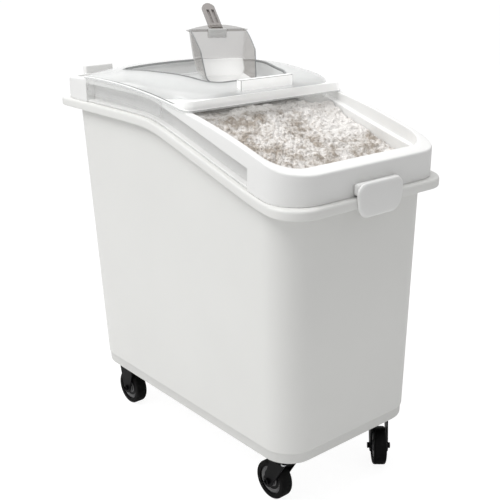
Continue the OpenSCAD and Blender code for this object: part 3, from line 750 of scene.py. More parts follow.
# Heights of the cover's roof over the rails, as pairs of inset and height in millimetres
SHOULDER = ((2, 3.6), (2.8, 5.4), (4.5, 10.5), (7, 15), (11, 18.5), (18, 21.5), (30, 25), (46, 27.5),
            (60, 28))
ARCH = ((2, 3.6), (10, 5.5), (28, 9), (63, 13), (96, 16), (140, 18), (190, 18.5))
BROW = ((2, 18.5), (2.8, 18.9), (8, 23), (14, 25.6), (22, 27.2), (32, 27.8), (46, 28))
# Share of its height that the roof keeps at its rear end, by inset, and the insets of the roof's rings
REAR_SHARE = ((2, 0.2), (2.8, 0.6), (4.5, 0.9), (7, 1.0))
ROOF_INSETS = (46, 36, 26, 18, 11, 7, 4.5, 2.8, 2)
# Place behind which the roof passes from its shoulders to the arch
ROOF_FALL = 20 * MM
# Plan radii of the roof in millimetres and their growth with the inset, and the steps along a side
FRONT_CORNER, REAR_CORNER, FRONT_GROWTH_SHARE, REAR_GROWTH_SHARE, COVER_STEPS = 66, 14, 0.2, 0.6, 30
# Places of the rings between the well and the roof, above and below, as shares of the way
OVER_SHARES, UNDER_SHARES = (0.3, 0.65), (0.35, 0.7)
# Height of the roof's edge along the sides, its rise at the front, and how far back that rise ends
SIDE_EDGE, FRONT_RISE, RISE_END = 3.6, 14.9, 48 * MM
# The well: front and rear from the cover's front, half width, widening towards the rear and plan radii; the
# shares say where along the well the widening starts and how much of the well it takes
WELL_FRONT, WELL_REAR, WELL_HALF, WELL_FLARE = 53 * MM, 300 * MM, 100 * MM, 26 * MM
WELL_CORNER, WELL_REAR_CORNER, FLARE_START_SHARE, FLARE_SHARE = 34 * MM, 12 * MM, 0.1, 0.45
# The well from its floor up, in millimetres: way out and height over the floor, then way out and sink under
# the roof, where the bead round the well stands above it
WELL_FLOOR = ((-14, 0), (-4, 0), (-1.2, 1.0), (0, 3.5))
WELL_BEAD = ((0.2, 2.8), (0.9, -0.6), (2.0, -1.4), (3.4, -1.4), (4.4, -0.4), (5.2, 0))
WELL_UNDER_BEAD = ((5.6, 3), (4.2, 3.8), (3.2, 5.4))
WELL_UNDER_FLOOR = ((3, 0), (2, -2.2), (0, -3), (-14, -3))
# The side shelf's edge: inset, plan radius and height over the rails, in millimetres
SHELF = ((1.2, 14, 3.6), (-2.2, 16, 3.6), (-3.2, 16.5, 3.2), (-3.6, 17, 2.2), (-3.6, 17, 1.0),
         (-3.2, 16.5, 0.6), (5, 14, 0.6))
# Length of the shelf's rear end that shows as an edge
REAR_EDGE = 3 * MM
# The side skirts: front and rear ends, drop below the rails and corner
SKIRT_FRONT, SKIRT_REAR, SKIRT_DROP, SKIRT_CORNER = -22 * MM, 230 * MM, 29.4 * MM, 7 * MM
# Their top over the rails, eased edge, steps, and faces from outside to inside in millimetres
SKIRT_TOP, SKIRT_EASE, SKIRT_STEPS = 2.0 * MM, 0.8 * MM, 32
SKIRT_FACES = (193.5, 193.6, 193.1, 191.1, 190.6, 190.7)
# The nose, a lip under the front edge: half width, corner, top, and the height that its depth counts from
NOSE_REACH, NOSE_CORNER, NOSE_TOP, NOSE_FOOT = 173 * MM, 50 * MM, 2.6 * MM, 0.4 * MM
# Its depth, its depth over the lid's ledge, how far before the ledge that starts, and its eased edge
NOSE_DEEP, NOSE_SHALLOW, NOSE_CLEAR, NOSE_EASE = 7.8 * MM, 3.2 * MM, 4 * MM, 0.6 * MM
# Steps round its corner, along its half and over its tapered end, and its faces from front to rear
NOSE_TURNS, NOSE_STEPS, NOSE_TAPER = 20, 12, 5
NOSE_FACES = (0.1, 0.1, 0.7, 2.3, 2.9, 2.9)
# The grip bar: distance before the well, height over its floor, edge radius, area of a broad face, and size
GRIP_BACK, GRIP_RISE, GRIP_EDGE, GRIP_FACE = 38 * MM, 13 * MM, 0.9 * MM, 100 * MM * MM
GRIP_SIZE = metres(126, 13, 26)
# Places of the cover's materials after its clear sheet: dark edge lines of painted shade, the clear skirt,
# the front painted white with a painted glow, and the well's floor with a painted glow
EDGE_PAINTED_SHADE, SKIRT, FRONT_PAINTED_LIGHT, WELL_PAINTED_GLOW = 1, 2, 3, 4


def roof(x, y):
    """Height of the cover's roof over the rails inside its shoulders: full in front, an arch at the rear."""
    lid = lid_sizes()
    fall = ease((y - ROOF_FALL) / (lid.cover_rear - ROOF_FALL))
    side = (lid.half - abs(x)) / MM
    return (along(SHOULDER, side) * (1 - fall) + along(ARCH, side) * fall) * MM


def roof_ring(inset, drop=0.0):
    """Ring of the roof at an inset, or of its underside at a drop, all in millimetres."""
    t, lid = tub_sizes(), lid_sizes()
    dome = inset > ROOF_INSETS[-1]
    r = (REAR_CORNER + REAR_GROWTH_SHARE * (inset - ROOF_INSETS[-1])) * MM
    q = (FRONT_CORNER + FRONT_GROWTH_SHARE * inset) * MM if dome else r
    deep = (inset + drop) * MM
    y0, y1 = lid.cover_front + deep, lid.cover_rear - deep
    points = []
    for x, y, _ in loop(lid.half - deep, y0, y1, q, r, sides=even(COVER_STEPS)):
        front = min(1.0, max(0.0, 1 - (y - y0) / q))
        rear = min(1.0, max(0.0, 1 - (y1 - y) / r))
        side = roof(lid.half - inset * MM, y)
        brow = along(BROW, inset) * MM
        end = roof(x, y) * along(REAR_SHARE, inset)
        lip = (SIDE_EDGE + FRONT_RISE * ease(1 - (y - lid.cover_front) / RISE_END)) * MM
        lift = max(side * (1 - front - rear) + brow * front + end * rear, lip)
        points.append(Vector((x, y + t.shift, arc_z(y, lift - drop * MM))))
    return points


def strip(faces, top, low, ease_by):
    """Section of a hanging strip: pairs of face and height, from the top of one side round to the other."""
    return zip(faces, (top, low + ease_by, low, low, low + ease_by, top))


class FLOURBIN_OT_cover(bpy.types.Operator):
    """Moulds the clear sliding cover with dome, skirts, nose, scoop well and grip"""
    bl_idname = "flour_bin.cover"
    bl_label = "Sliding cover"

    def execute(self, context):
        t, lid = tub_sizes(), lid_sizes()
        y0, y1, half, floor = lid.cover_front, lid.cover_rear, lid.half, lid.well_z
        wf, wr = y0 + WELL_FRONT, y0 + WELL_REAR
        sheet = lid.sheet / MM

        def shelf(inset, r, up):
            deep = max(inset, 0) * MM
            places = loop(half - inset * MM, y0 + deep, y1 - deep, r * MM, sides=even(COVER_STEPS))
            return lay(places, lambda x, y: arc_z(y, up * MM))

        def well(out, sink=None, up=0.0):
            """Ring round the well: sunk under the roof, or at a height over the floor, in millimetres."""
            points = []
            out *= MM
            places = loop(WELL_HALF + out, wf - out, wr + out, WELL_CORNER + out, WELL_REAR_CORNER + out,
                          sides=even(COVER_STEPS))
            for x, y, _ in places:
                back = (y - wf) / (wr - wf)
                x *= 1 + WELL_FLARE * ease((back - FLARE_START_SHARE) / FLARE_SHARE) / WELL_HALF
                z = floor + up * MM if sink is None else arc_z(y, roof(x, y) - sink * MM)
                points.append(Vector((x, y + t.shift, z)))
            return points

        def between(low, high, share, sink):
            """Ring on the roof between two others."""
            points = []
            for a, b in zip(low, high):
                x, y = a.x + (b.x - a.x) * share, a.y + (b.y - a.y) * share - t.shift
                points.append(Vector((x, y + t.shift, arc_z(y, roof(x, y) - sink * MM))))
            return points

        loops = [well(out, up=up) for out, up in WELL_FLOOR] + [well(out, sink) for out, sink in WELL_BEAD]
        marks = {**dict.fromkeys(range(len(WELL_FLOOR)), WELL_PAINTED_GLOW),
                 **dict.fromkeys(range(len(WELL_FLOOR), len(loops) - 1), EDGE_PAINTED_SHADE)}
        rim = loops[-1]
        loops += [between(rim, roof_ring(ROOF_INSETS[0]), share, 0) for share in OVER_SHARES]
        loops += [roof_ring(inset) for inset in ROOF_INSETS]
        last = len(loops) - 2
        flange_end = y0 + FRONT_CORNER * MM + t.shift

        def shelf_mark(at):
            return EDGE_PAINTED_SHADE if at.y > y1 - REAR_EDGE + t.shift else FRONT_PAINTED_LIGHT

        marks.update({last: lambda at: FRONT_PAINTED_LIGHT if at.y < flange_end else EDGE_PAINTED_SHADE,
                      last + 1: shelf_mark, last + 2: shelf_mark})
        loops += [shelf(inset, r, up) for inset, r, up in SHELF]
        loops += [roof_ring(inset, sheet) for inset in reversed(ROOF_INSETS)]
        under = [well(out, sink) for out, sink in WELL_UNDER_BEAD]
        loops += [between(roof_ring(ROOF_INSETS[0], sheet), under[0], share, sheet)
                  for share in UNDER_SHARES]
        loops += under + [well(out, up=up) for out, up in WELL_UNDER_FLOOR]

        def skirt(bm, side):
            rows = []
            for k in range(SKIRT_STEPS + 1):
                y = SKIRT_FRONT + (SKIRT_REAR - SKIRT_FRONT) * k / SKIRT_STEPS
                end = min(1.0, (y - SKIRT_FRONT) / SKIRT_CORNER, (SKIRT_REAR - y) / SKIRT_CORNER)
                low = SKIRT_CORNER * (1 - math.sqrt(1 - (1 - end) ** 2)) - SKIRT_DROP
                rows.append([Vector((side * x * MM, y + t.shift, arc_z(y, up)))
                             for x, up in strip(SKIRT_FACES, SKIRT_TOP, low, SKIRT_EASE)])
            loft(bm, rows, first=True, last=True, marks=SKIRT)

        def nose(bm):
            """Lip under the front edge, which follows the opening's rounded corners."""
            inner = NOSE_REACH - NOSE_CORNER
            path = [(inner + NOSE_CORNER * math.cos(a), y0 + NOSE_CORNER * (1 - math.sin(a)),
                     math.cos(a), -math.sin(a)) for a in quarter(NOSE_TURNS)[:-1]]
            path += [(inner * (1 - k / NOSE_STEPS), y0, 0.0, -1.0) for k in range(NOSE_STEPS)]
            path += [(0.0, y0, 0.0, -1.0)] + [(-x, y, -nx, ny) for x, y, nx, ny in reversed(path)]
            rows = []
            for k, (x, y, nx, ny) in enumerate(path):
                end = min(1.0, min(k, len(path) - 1 - k) / NOSE_TAPER)
                deep = NOSE_SHALLOW if abs(x) > half - lid.lower_in - NOSE_CLEAR else NOSE_DEEP
                low = NOSE_FOOT - deep * math.sqrt(1 - (1 - end) ** 2)
                row = []
                for d, up in strip(NOSE_FACES, NOSE_TOP, low, NOSE_EASE):
                    at_y = y - ny * d * MM
                    row.append(Vector((x - nx * d * MM, at_y + t.shift, arc_z(at_y, up))))
                rows.append(row)
            loft(bm, rows, first=True, last=True, marks=SKIRT)

        def build(bm):
            loft(bm, loops, first=True, last=True, marks=marks)
            for side in (-1, 1):
                skirt(bm, side)
            nose(bm)
            before = set(bm.faces)
            block(bm, Vector((0, wf - GRIP_BACK + t.shift, floor + GRIP_RISE)), GRIP_SIZE, GRIP_EDGE)
            for face in set(bm.faces) - before:
                # Broad grip faces get the painted light of the white front, narrow ones the painted shade of
                # the edges
                face.material_index = FRONT_PAINTED_LIGHT if face.calc_area() > GRIP_FACE else EDGE_PAINTED_SHADE

        piece = mesh_object("sliding_cover_shell", build)
        finish_piece(piece, "cover", "clear", "sliding_cover",
                     clear_sheet("clear_cover", look().clear, thin=0.34, edge=0.85),
                     # Painted shade along the well's bead, the shelf's rear edge and the grip's ends
                     clear_sheet("clear_edge_painted_shade", look().edge, thin=0.75, edge=0.95),
                     clear_sheet("clear_skirt", look().clear, thin=0.05, edge=0.4),
                     # Painted light: the lid white and a glow make the clear front look lit from within
                     clear_sheet("clear_front_painted_light", look().lid, thin=0.6, edge=0.85, rough=0.2, glow=0.4),
                     # Painted glow on the well's floor
                     clear_sheet("clear_well_painted_glow", look().well, thin=0.6, edge=0.85, glow=0.1))
        return {"FINISHED"}


# The scoop's place in the well: X, Y, gap under it, and turn in degrees. All sizes of the scoop are in
# millimetres, in its own frame, which has the mouth at Y 0 and the floor at Z 0.
SCOOP_X, SCOOP_Y, SCOOP_GAP, SCOOP_TURN = 6, 21.04, 0.3, -28
# Half the floor's flat, the round beside it, the wall, and how far the sides, mouth and back lean out
SCOOP_FLAT, SCOOP_ROUND, SCOOP_WALL = 33.0, 18.0, 2.5
SIDE_LEAN, MOUTH_LEAN, BACK_LEAN = 8, 40, 8
# Heights of the top edge at the mouth and the back, and the rise of the sides between them
MOUTH_TOP, BACK_TOP, SIDE_CROWN = 60, 90, 22
# The heel: Y at the floor and at its top, and its height
HEEL_FOOT, HEEL_TOP, HEEL_RISE = 102, 150, 34
# The inner skin: shares of the wall at the back and on the floor, X where it is full, and the floor's top
BACK_WALL_SHARE, FLOOR_WALL_SHARE, FULL_WALL_X, FLOOR_TOP = 1.2, 0.5, 20, 0.1
# Steps along the scoop, over its flat, round and side, and across its back
SCOOP_STEPS, FLAT_STEPS, ROUND_STEPS, RISE_STEPS, SCOOP_RUNGS = 30, 6, 8, 16, 10
# Rows from the middle that count as floor, and the rung of the back below which the heel does
FLOOR_ROWS, HEEL_RUNG = 11, 12
# Places of the scoop's materials after its clear sheet: rims of painted shade, and a lighter white that
# paints light on the floor, heel and socket
SCOOP_RIM_SHADE, SCOOP_PAINTED_LIGHT = 1, 2
# The rolled edge on the back: half length, Y, half thickness, foot, crown, and where the crown ends
ROLL_HALF, ROLL_Y, ROLL_HALF_T, ROLL_FOOT, ROLL_CROWN, ROLL_SPAN = 66, 157.6, 1.5, 89, 9, 59
# Its steps, length of the tapered ends, hang below the foot, and top: share of half the thickness, height
ROLL_STEPS, ROLL_TAPER, ROLL_HANG = 36, 6, 4
ROLL_TOP = ((1, 0.2), (0.6, 0.9), (-0.6, 0.9), (-1, 0.2))
# The handle's socket: middle, size and edge radius
SOCKET_AT = metres(0, 156.5, 82)
SOCKET_SIZE = metres(38, 13, 18)
SOCKET_EDGE = 1.6 * MM
# The handle's root in the scoop's frame, and its tilt in degrees
HANDLE_ROOT = metres(0, 150, 90)
HANDLE_TILT = 20
# Half its width, its thickness and belly, its rounding as a share of that half, and the rounding's middle
HANDLE_HALF, HANDLE_T, HANDLE_BELLY, HANDLE_ROUND_SHARE, MID_ROUND_SHARE = 14.5, 13, 0.3, 0.38, 0.3
# Stations along it, then its round tip: start, length, steps and the least share of the width, squared
HANDLE_STATIONS = (11, 13, 16, 32, 33, 50, 65, 80, 97, 98, 110, 116)
TIP_START, TIP_LONG, TIP_STEPS, TIP_LEAST = 116, 15, 8, 0.02
# The two grooves in its top: ends, depth and spread, then way across and 1 where the top lies in a groove
GROOVE_FRONT, GROOVE_REAR, GROOVE_DEEP, GROOVE_SHARE = 32.5, 97.5, 4.5, 0.9
HANDLE_TOP = ((-9.2, 0), (-8.9, 0), (-8.5, 1), (-2.9, 1), (-2.5, 0), (-2.1, 0))


def scoop_place():
    """From the scoop's own frame to the bin's."""
    t, lid = tub_sizes(), lid_sizes()
    spot = Vector((SCOOP_X * MM, SCOOP_Y * MM + t.shift, lid.well_z + SCOOP_GAP * MM))
    return Matrix.Translation(spot) @ Matrix.Rotation(math.radians(SCOOP_TURN), 4, "Z")


def scoop_back(z):
    """Y of the scoop's back at a height: the sloped heel, then the back."""
    if z < HEEL_RISE:
        return HEEL_FOOT + (HEEL_TOP - HEEL_FOOT) * z / HEEL_RISE
    return HEEL_TOP + BACK_LEAN * (z - HEEL_RISE) / (BACK_TOP - HEEL_RISE)


def scoop_section(top):
    """Half profile of the scoop from the middle of its floor to its top edge."""
    points = [(x, 0.0) for x in span(0.0, SCOOP_FLAT, FLAT_STEPS)]
    points += [(SCOOP_FLAT + SCOOP_ROUND * math.sin(a), SCOOP_ROUND * (1 - math.cos(a)))
               for a in quarter(ROUND_STEPS)[:-1]]
    rise = BACK_TOP - SCOOP_ROUND
    return points + [(SCOOP_FLAT + SCOOP_ROUND + SIDE_LEAN * (z - SCOOP_ROUND) / rise, z)
                     for z in span(SCOOP_ROUND, top, RISE_STEPS) + [top]]


def scoop_skin(bm, place_at, inset):
    """One skin of the bowl, set in by the wall; returns its rows and the top edge of its back."""
    rows = []
    for k in range(SCOOP_STEPS + 1):
        u = k / SCOOP_STEPS
        half = scoop_section(MOUTH_TOP + (BACK_TOP - MOUTH_TOP) * u + SIDE_CROWN * u * (1 - u))
        row = []
        for x, z in [(-x, z) for x, z in reversed(half[1:])] + half:
            mouth = MOUTH_LEAN * z / MOUTH_TOP
            y = mouth + u * (scoop_back(z) - inset * BACK_WALL_SHARE - mouth)
            share = min(1, abs(x) / FULL_WALL_X) * (1 if z > FLOOR_TOP else FLOOR_WALL_SHARE)
            x -= math.copysign(inset * share, x)
            row.append(place_at @ metres(x, y, z + inset * max(0, 1 - z / SCOOP_ROUND)))
        rows.append([bm.verts.new(p) for p in row])
    last = rows[-1]
    count = len(last)
    middle = count // 2
    for low, high in zip(rows, rows[1:]):
        for k in range(count - 1):
            face = bm.faces.new((low[k], low[k + 1], high[k + 1], high[k]))
            face.material_index = SCOOP_PAINTED_LIGHT if abs(k + 1 - middle) < FLOOR_ROWS else 0
    rungs = []
    for k in range(middle):
        a, b = last[k], last[count - 1 - k]
        steps = [bm.verts.new(a.co.lerp(b.co, j / SCOOP_RUNGS)) for j in range(1, SCOOP_RUNGS)]
        rungs.append([a] + steps + [b])
    rungs.append([last[middle]])
    for k, (high, low) in enumerate(zip(rungs, rungs[1:])):
        end = len(low) - 1
        for j in range(len(high) - 1):
            corners = dict.fromkeys((high[j], high[j + 1], low[min(j + 1, end)], low[min(j, end)]))
            bm.faces.new(list(corners)).material_index = SCOOP_PAINTED_LIGHT if k > HEEL_RUNG else 0
    return rows, rungs[0]


class FLOURBIN_OT_scoop(bpy.types.Operator):
    """Moulds the clear scoop bowl and its smoky handle"""
    bl_idname = "flour_bin.scoop"
    bl_label = "Scoop"

    def execute(self, context):
        place_at = scoop_place()

        def bowl(bm):
            outer, outer_back = scoop_skin(bm, place_at, 0.0)
            inner, inner_back = scoop_skin(bm, place_at, SCOOP_WALL)
            for a, b in ((outer[0], inner[0]), ([r[0] for r in outer], [r[0] for r in inner]),
                         ([r[-1] for r in outer], [r[-1] for r in inner]), (outer_back, inner_back)):
                for k in range(len(a) - 1):
                    bm.faces.new((a[k], a[k + 1], b[k + 1], b[k])).material_index = SCOOP_RIM_SHADE
            roll = []
            for k in range(ROLL_STEPS + 1):
                x = ROLL_HALF * (2 * k / ROLL_STEPS - 1)
                tip = min(1.0, (ROLL_HALF - abs(x)) / ROLL_TAPER)
                foot = ROLL_FOOT - ROLL_HANG * tip
                top = ROLL_FOOT + ROLL_CROWN * max(0.0, 1 - (x / ROLL_SPAN) ** 2)
                section = [(-1, foot), (1, foot)] + [(side, top + up * tip) for side, up in ROLL_TOP]
                roll.append([place_at @ metres(x, ROLL_Y + ROLL_HALF_T * side * tip, z)
                             for side, z in section])
            loft(bm, roll, first=True, last=True)
            before = set(bm.faces)
            socket = bmesh.ops.create_cube(bm, size=1.0, matrix=place_at @ Matrix.Translation(SOCKET_AT)
                                           @ Matrix.Diagonal((*SOCKET_SIZE, 1)))
            edges = {e for v in socket["verts"] for e in v.link_edges}
            bmesh.ops.bevel(bm, geom=list(edges), offset=SOCKET_EDGE, segments=2, profile=0.5, affect="EDGES")
            for face in set(bm.faces) - before:
                face.material_index = SCOOP_PAINTED_LIGHT

        piece = mesh_object("scoop_bowl_shell", bowl)
        finish_piece(piece, "scoop", "clear", "scoop_bowl",
                     clear_sheet("clear_scoop", look().scoop, thin=0.3, edge=0.6),
                     # Painted shade along the scoop's mouth, sides and back rim
                     clear_sheet("clear_rim_painted_shade", look().edge, thin=0.8, edge=0.95),
                     # Painted light: the lid white on the scoop's floor, heel and socket
                     clear_sheet("clear_floor_painted_light", look().lid, thin=0.65, edge=0.9))

        tilt = (place_at @ Matrix.Translation(HANDLE_ROOT)
                @ Matrix.Rotation(math.radians(HANDLE_TILT), 4, "X"))

        def handle(bm):
            rows = []
            tip = [TIP_START + TIP_LONG * math.sin(a) for a in quarter(TIP_STEPS)[1:]]
            for y in (*HANDLE_STATIONS, *tip):
                past = max(0.0, (y - TIP_START) / TIP_LONG)
                w = HANDLE_HALF * math.sqrt(max(TIP_LEAST, 1 - past ** 2))
                deep = GROOVE_DEEP if GROOVE_FRONT < y < GROOVE_REAR else 0.0
                edge = HANDLE_ROUND_SHARE * w
                mid = MID_ROUND_SHARE * edge
                share = GROOVE_SHARE * w / HANDLE_HALF
                left = [(-w, -edge), (-w + mid, -mid), (-w + edge, 0)]
                left += [(x * share, -deep * groove) for x, groove in HANDLE_TOP]
                right = [(-x, z) for x, z in reversed(left)]
                low = [(w, edge), (w - mid, mid), (w - edge, 0), (0, -HANDLE_BELLY),
                       (-w + edge, 0), (-w + mid, mid), (-w, edge)]
                section = left + right + [(x, z - HANDLE_T) for x, z in low]
                rows.append([tilt @ metres(x, y, z) for x, z in section])
            loft(bm, rows, first=True, last=True)

        piece = mesh_object("scoop_handle_shell", handle)
        finish_piece(piece, "scoop", "handle", "scoop_handle",
                     clear_sheet("smoky_handle", look().smoke, thin=0.9, edge=1.0, rough=0.18))
        return {"FINISHED"}


# The flour's outline under the lid, and its corner
FLOUR_HALF, FLOUR_FRONT, FLOUR_REAR, FLOUR_CORNER = 164 * MM, -324 * MM, 255 * MM, 40 * MM
# Least corner of the rings inside it, and the share of a small ring's half width that its corner takes
FLOUR_LEAST_CORNER, FLOUR_CORNER_SHARE = 3 * MM, 0.9
# Rings of the heap, steps in the part that shows and behind it, and where that part ends
FLOUR_RINGS, FLOUR_FINE, FLOUR_COARSE, FLOUR_SEEN = 64, 150, 24, -60 * MM
# Mean height: below the rear rim, below the rails, and the further sink at the opening's front
FLOUR_TOP, FLOUR_SINK, FLOUR_SLUMP = 4 * MM, 31 * MM, 17 * MM
# Lumps on that height: height in millimetres and number in a metre; layers of the finer ones, mean of all
SWELL, LUMP, CRUMB = (6.0, 13.0), (8.0, 48.0), (4.4, 120.0)
LUMP_LAYERS, LUMP_MEAN = 2, 5.0
# Flour banked against the cover's front: height in millimetres and reach, and how far back the lumps fade
BANK, BANK_REACH, CALM = 11.0, 32 * MM, 60 * MM
# Skirt of the heap: step out, corner, depth below the heap, gap below the rim, and foot below the rim
HEAP_OUT, HEAP_CORNER, HEAP_DEPTH, HEAP_GAP, HEAP_FOOT = 0.4 * MM, 42 * MM, 4 * MM, 2 * MM, 20 * MM
# Flour along the wall: inset in millimetres, and height over the floor or None for the ring under the rim
FLOUR_BASE = ((1.5, None), (1.5, 15), (6, 4), (16, 0.5))
FLOUR_UNDER = 34 * MM


class FLOURBIN_OT_flour(bpy.types.Operator):
    """Fills the tub with clumpy flour up into the lid's opening"""
    bl_idname = "flour_bin.flour"
    bl_label = "Flour"

    def execute(self, context):
        t, lid = tub_sizes(), lid_sizes()

        def sides(low, high):
            return span(low, FLOUR_SEEN, FLOUR_FINE) + span(FLOUR_SEEN, high, FLOUR_COARSE)

        steps = {"edge": 36, "corner": 12, "sides": sides}

        def level(y):
            """Mean height of the flour: level behind, sunk towards the front of the opening."""
            slump = max(0.0, (lid.cover_front - y) / (lid.cover_front - lid.opening_front))
            return min(t.rim_rear - FLOUR_TOP, arc_z(y) - FLOUR_SINK - FLOUR_SLUMP * slump)

        def surface(x, y):
            """Height of the heap: lumps of several sizes on the mean height."""
            spot = Vector((x, y, 0.0))
            lumps = noise.noise(spot * SWELL[1]) * SWELL[0]
            for high, many in (LUMP, CRUMB):
                lumps += noise.turbulence(spot * many, LUMP_LAYERS, True) * high
            lumps += BANK * math.exp(-((y - lid.cover_front) / BANK_REACH) ** 2)
            calm = min(1.0, max(0.0, (CALM - y) / CALM))
            return level(y) + (lumps - LUMP_MEAN) * calm * MM

        loops = []
        for k in range(FLOUR_RINGS + 1):
            left = FLOUR_HALF * k / FLOUR_RINGS
            inset = FLOUR_HALF - left
            r = max(FLOUR_CORNER - inset, min(FLOUR_LEAST_CORNER, FLOUR_CORNER_SHARE * left))
            loops.append(lay(loop(left, FLOUR_FRONT + inset, FLOUR_REAR - inset, r, **steps), surface))
        skirt = loop(FLOUR_HALF + HEAP_OUT, FLOUR_FRONT, FLOUR_REAR + HEAP_OUT, HEAP_CORNER, **steps)
        loops.append(lay(skirt, lambda x, y: min(surface(x, y) - HEAP_DEPTH, rim_z(y) - HEAP_GAP)))
        loops.append(lay(skirt, lambda x, y: rim_z(y) - HEAP_FOOT))
        for inset, up in FLOUR_BASE:
            points = []
            for low, high in wall_outlines(t.wall + inset * MM, **steps):
                z = rim_z(high[1]) - FLOUR_UNDER if up is None else t.base + t.floor + up * MM
                points.append(wall_point(low, high, z))
            loops.append(points)
        piece = mesh_object("flour_heap", lambda bm: loft(bm, loops, last=True))
        finish_piece(piece, "bin", "flour", "flour", flour_finish("flour", look().flour, look().flour_shade))
        return {"FINISHED"}


# Eased edges of the hubs and of the steel, the angle from which an edge is eased, and the gap that is welded
HUB_EASE, STEEL_EASE, EASE_ANGLE, WELD_GAP = 2.2 * MM, 0.7 * MM, math.radians(40), 0.02 * MM
# Place of the material on the hubs' eased edges, a lighter grey that paints a highlight round each hub
HUB_RING_HIGHLIGHT = 1


class FLOURBIN_OT_casters(bpy.types.Operator):
    """Finishes the casters and fasteners: eased edges, black paint, rubber, steel and a painted highlight
    round the hubs
    """
    bl_idname = "flour_bin.casters"
    bl_label = "Casters"

    def execute(self, context):
        colours = look()
        paint = enamel("caster_black", colours.black, rough=0.35, coat=0.03, shine=0.06)
        hub = enamel("hub_black", colours.black, rough=0.3, coat=0.08, shine=0.06)
        # Painted highlight: a lighter, glossier grey on the hubs' eased edges
        ring = enamel("hub_ring_painted_highlight", colours.ring, rough=0.2, coat=0.6)
        rubber = enamel("tyre_black", colours.rubber, rough=0.5, coat=0.0, shine=0.06)
        steel = bright_steel("bright_steel")
        finishes = {"fork": paint, "bracket": paint, "plate": paint, "swivel_ring": paint, "hub": hub,
                    "tyre": rubber, "axle": paint, "nut": paint, "king_pin": steel, "sleeve": steel,
                    "caster": steel}
        for name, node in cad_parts.items():
            finish = finishes.get(name.rsplit("_", 1)[0])
            if finish is None:
                continue
            node.data.materials.clear()
            node.data.materials.append(finish)
            weld = node.modifiers.new("weld", "WELD")
            weld.merge_threshold = WELD_GAP
            bevel = node.modifiers.new("eased", "BEVEL")
            bevel.width = HUB_EASE if finish is hub else STEEL_EASE
            bevel.segments = 2
            bevel.limit_method = "ANGLE"
            bevel.angle_limit = EASE_ANGLE
            bevel.harden_normals = True
            if finish is hub:
                node.data.materials.append(ring)
                bevel.material = HUB_RING_HIGHLIGHT
        return {"FINISHED"}


# The studio: light from all round, and the floor's glow, the camera's share of it, colour and roughness
FILL, FLOOR_GLOW, FLOOR_SHARE = 0.46, 1.2, 0.76
FLOOR_COLOUR, FLOOR_ROUGH = (0.9, 0.9, 0.9, 1), 0.8
# Each lamp's name, place, aim, size in metres and power in watts
LAMPS = (("key_light", (-1.9, 0.5, 3.3), (0, 0, 0.45), 1.8, 66),
         ("top_light", (0.2, 0.3, 3.2), (0, 0, 0.4), 2.4, 34))
# The camera: its place in metres, and its direction in degrees
EYE, AZIMUTH, ELEVATION = (-1.07863, -1.31292, 0.98209), -40.27, 19.18
# Its focal length over the picture's width, sensor width in millimetres, and the floor's width in metres
FOCUS, SENSOR, FAR = 882.41 / 500, 36.0, 60
WHITE = (1, 1, 1, 1)


def rays(tree, *kinds):
    """1 for rays of these kinds, and 0 for all others."""
    path = Wire.node(tree, "ShaderNodeLightPath").socket.node
    seen, *more = [Wire(tree, path.outputs[kind]) for kind in kinds]
    for kind in more:
        seen = Wire.node(tree, "ShaderNodeMath", {"operation": "ADD", "use_clamp": True}, {0: seen, 1: kind})
    return seen


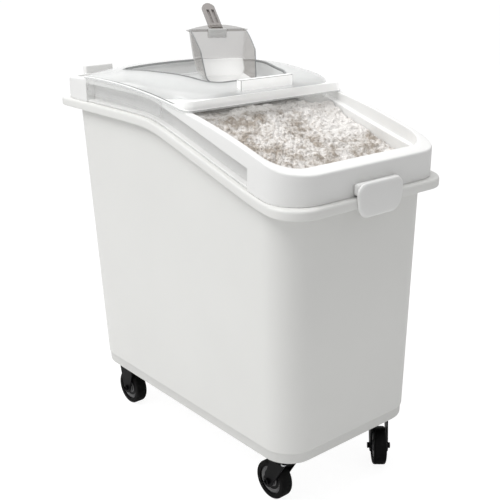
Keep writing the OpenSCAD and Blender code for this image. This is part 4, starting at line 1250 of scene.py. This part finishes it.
class FLOURBIN_OT_stage(bpy.types.Operator):
    """Sets the floor, the soft studio light and the camera"""
    bl_idname = "flour_bin.stage"
    bl_label = "Stage"

    def execute(self, context):
        scene = context.scene
        scene.view_settings.view_transform = "Standard"
        bpy.ops.mesh.primitive_plane_add(size=FAR)
        floor = context.active_object
        floor.name = "studio_floor"
        material, tree, shader = new_tree("studio_white")
        out = next(n for n in tree.nodes if n.type == "OUTPUT_MATERIAL")
        put(tree, shader, "Base Color", FLOOR_COLOUR)
        put(tree, shader, "Roughness", FLOOR_ROUGH)
        glow = Wire.node(tree, "ShaderNodeEmission", {}, {"Color": WHITE, "Strength": FLOOR_GLOW})
        seen = rays(tree, "Is Camera Ray") * FLOOR_SHARE
        mixed = Wire.node(tree, "ShaderNodeMixShader", {},
                          {0: seen, 1: Wire(tree, shader.outputs[0]), 2: glow})
        tree.links.new(mixed.socket, out.inputs["Surface"])
        floor.data.materials.append(material)

        world = scene.world or bpy.data.worlds.new("studio")
        scene.world = world
        world.use_nodes = True
        tree = world.node_tree
        tree.nodes.clear()
        seen = rays(tree, "Is Camera Ray", "Is Glossy Ray", "Is Transmission Ray")
        plain = Wire.node(tree, "ShaderNodeBackground", {}, {"Color": WHITE, "Strength": FILL})
        white = Wire.node(tree, "ShaderNodeBackground", {}, {"Color": WHITE, "Strength": 1.0})
        mixed = Wire.node(tree, "ShaderNodeMixShader", {}, {0: seen, 1: plain, 2: white})
        Wire.node(tree, "ShaderNodeOutputWorld", {}, {"Surface": mixed})

        for name, spot, aim, size, power in LAMPS:
            lamp = bpy.data.lights.new(name, "AREA")
            lamp.size = size
            lamp.energy = power
            holder = bpy.data.objects.new(name, lamp)
            scene.collection.objects.link(holder)
            holder.location = spot
            holder.rotation_euler = (Vector(aim) - Vector(spot)).to_track_quat("-Z", "Y").to_euler()

        eye = bpy.data.cameras.new("photo_camera")
        eye.sensor_width = SENSOR
        eye.lens = FOCUS * SENSOR
        eye.clip_end = FAR
        holder = bpy.data.objects.new("photo_camera", eye)
        scene.collection.objects.link(holder)
        azimuth, elevation = math.radians(AZIMUTH), math.radians(ELEVATION)
        ahead = Vector((-math.sin(azimuth) * math.cos(elevation), math.cos(azimuth) * math.cos(elevation),
                        -math.sin(elevation)))
        holder.location = Vector(EYE) + Vector((0, tub_sizes().shift, 0))
        holder.rotation_euler = ahead.to_track_quat("-Z", "Y").to_euler()
        scene.camera = holder
        return {"FINISHED"}


class FLOURBIN_PT_panel(bpy.types.Panel):
    """Lists the makers of the flour bin's pieces"""
    bl_idname = "FLOURBIN_PT_panel"
    bl_label = "Flour bin"
    bl_space_type = "VIEW_3D"
    bl_region_type = "UI"
    bl_category = "Flour Bin"

    def draw(self, context):
        for maker in OPERATORS:
            self.layout.operator(maker.bl_idname)


GROUPS = (FLOURBIN_PG_tub, FLOURBIN_PG_lid, FLOURBIN_PG_look)
OPERATORS = (FLOURBIN_OT_tub, FLOURBIN_OT_lid, FLOURBIN_OT_tab, FLOURBIN_OT_cover, FLOURBIN_OT_scoop,
             FLOURBIN_OT_flour, FLOURBIN_OT_casters, FLOURBIN_OT_stage)


def register():
    """Registers the groups, makers and panel, and gives the scene its sizes and colours."""
    for kind in (*GROUPS, *OPERATORS, FLOURBIN_PT_panel):
        bpy.utils.register_class(kind)
    bpy.types.Scene.flour_bin_tub = PointerProperty(type=FLOURBIN_PG_tub)
    bpy.types.Scene.flour_bin_lid = PointerProperty(type=FLOURBIN_PG_lid)
    bpy.types.Scene.flour_bin_look = PointerProperty(type=FLOURBIN_PG_look)


def unregister():
    """Takes back what register did."""
    for name in ("flour_bin_look", "flour_bin_lid", "flour_bin_tub"):
        delattr(bpy.types.Scene, name)
    for kind in reversed((*GROUPS, *OPERATORS, FLOURBIN_PT_panel)):
        bpy.utils.unregister_class(kind)


def main():
    """Makes every piece in order."""
    register()
    for maker in OPERATORS:
        group, verb = maker.bl_idname.split(".")
        getattr(getattr(bpy.ops, group), verb)()


if __name__ == "__main__":
    main()
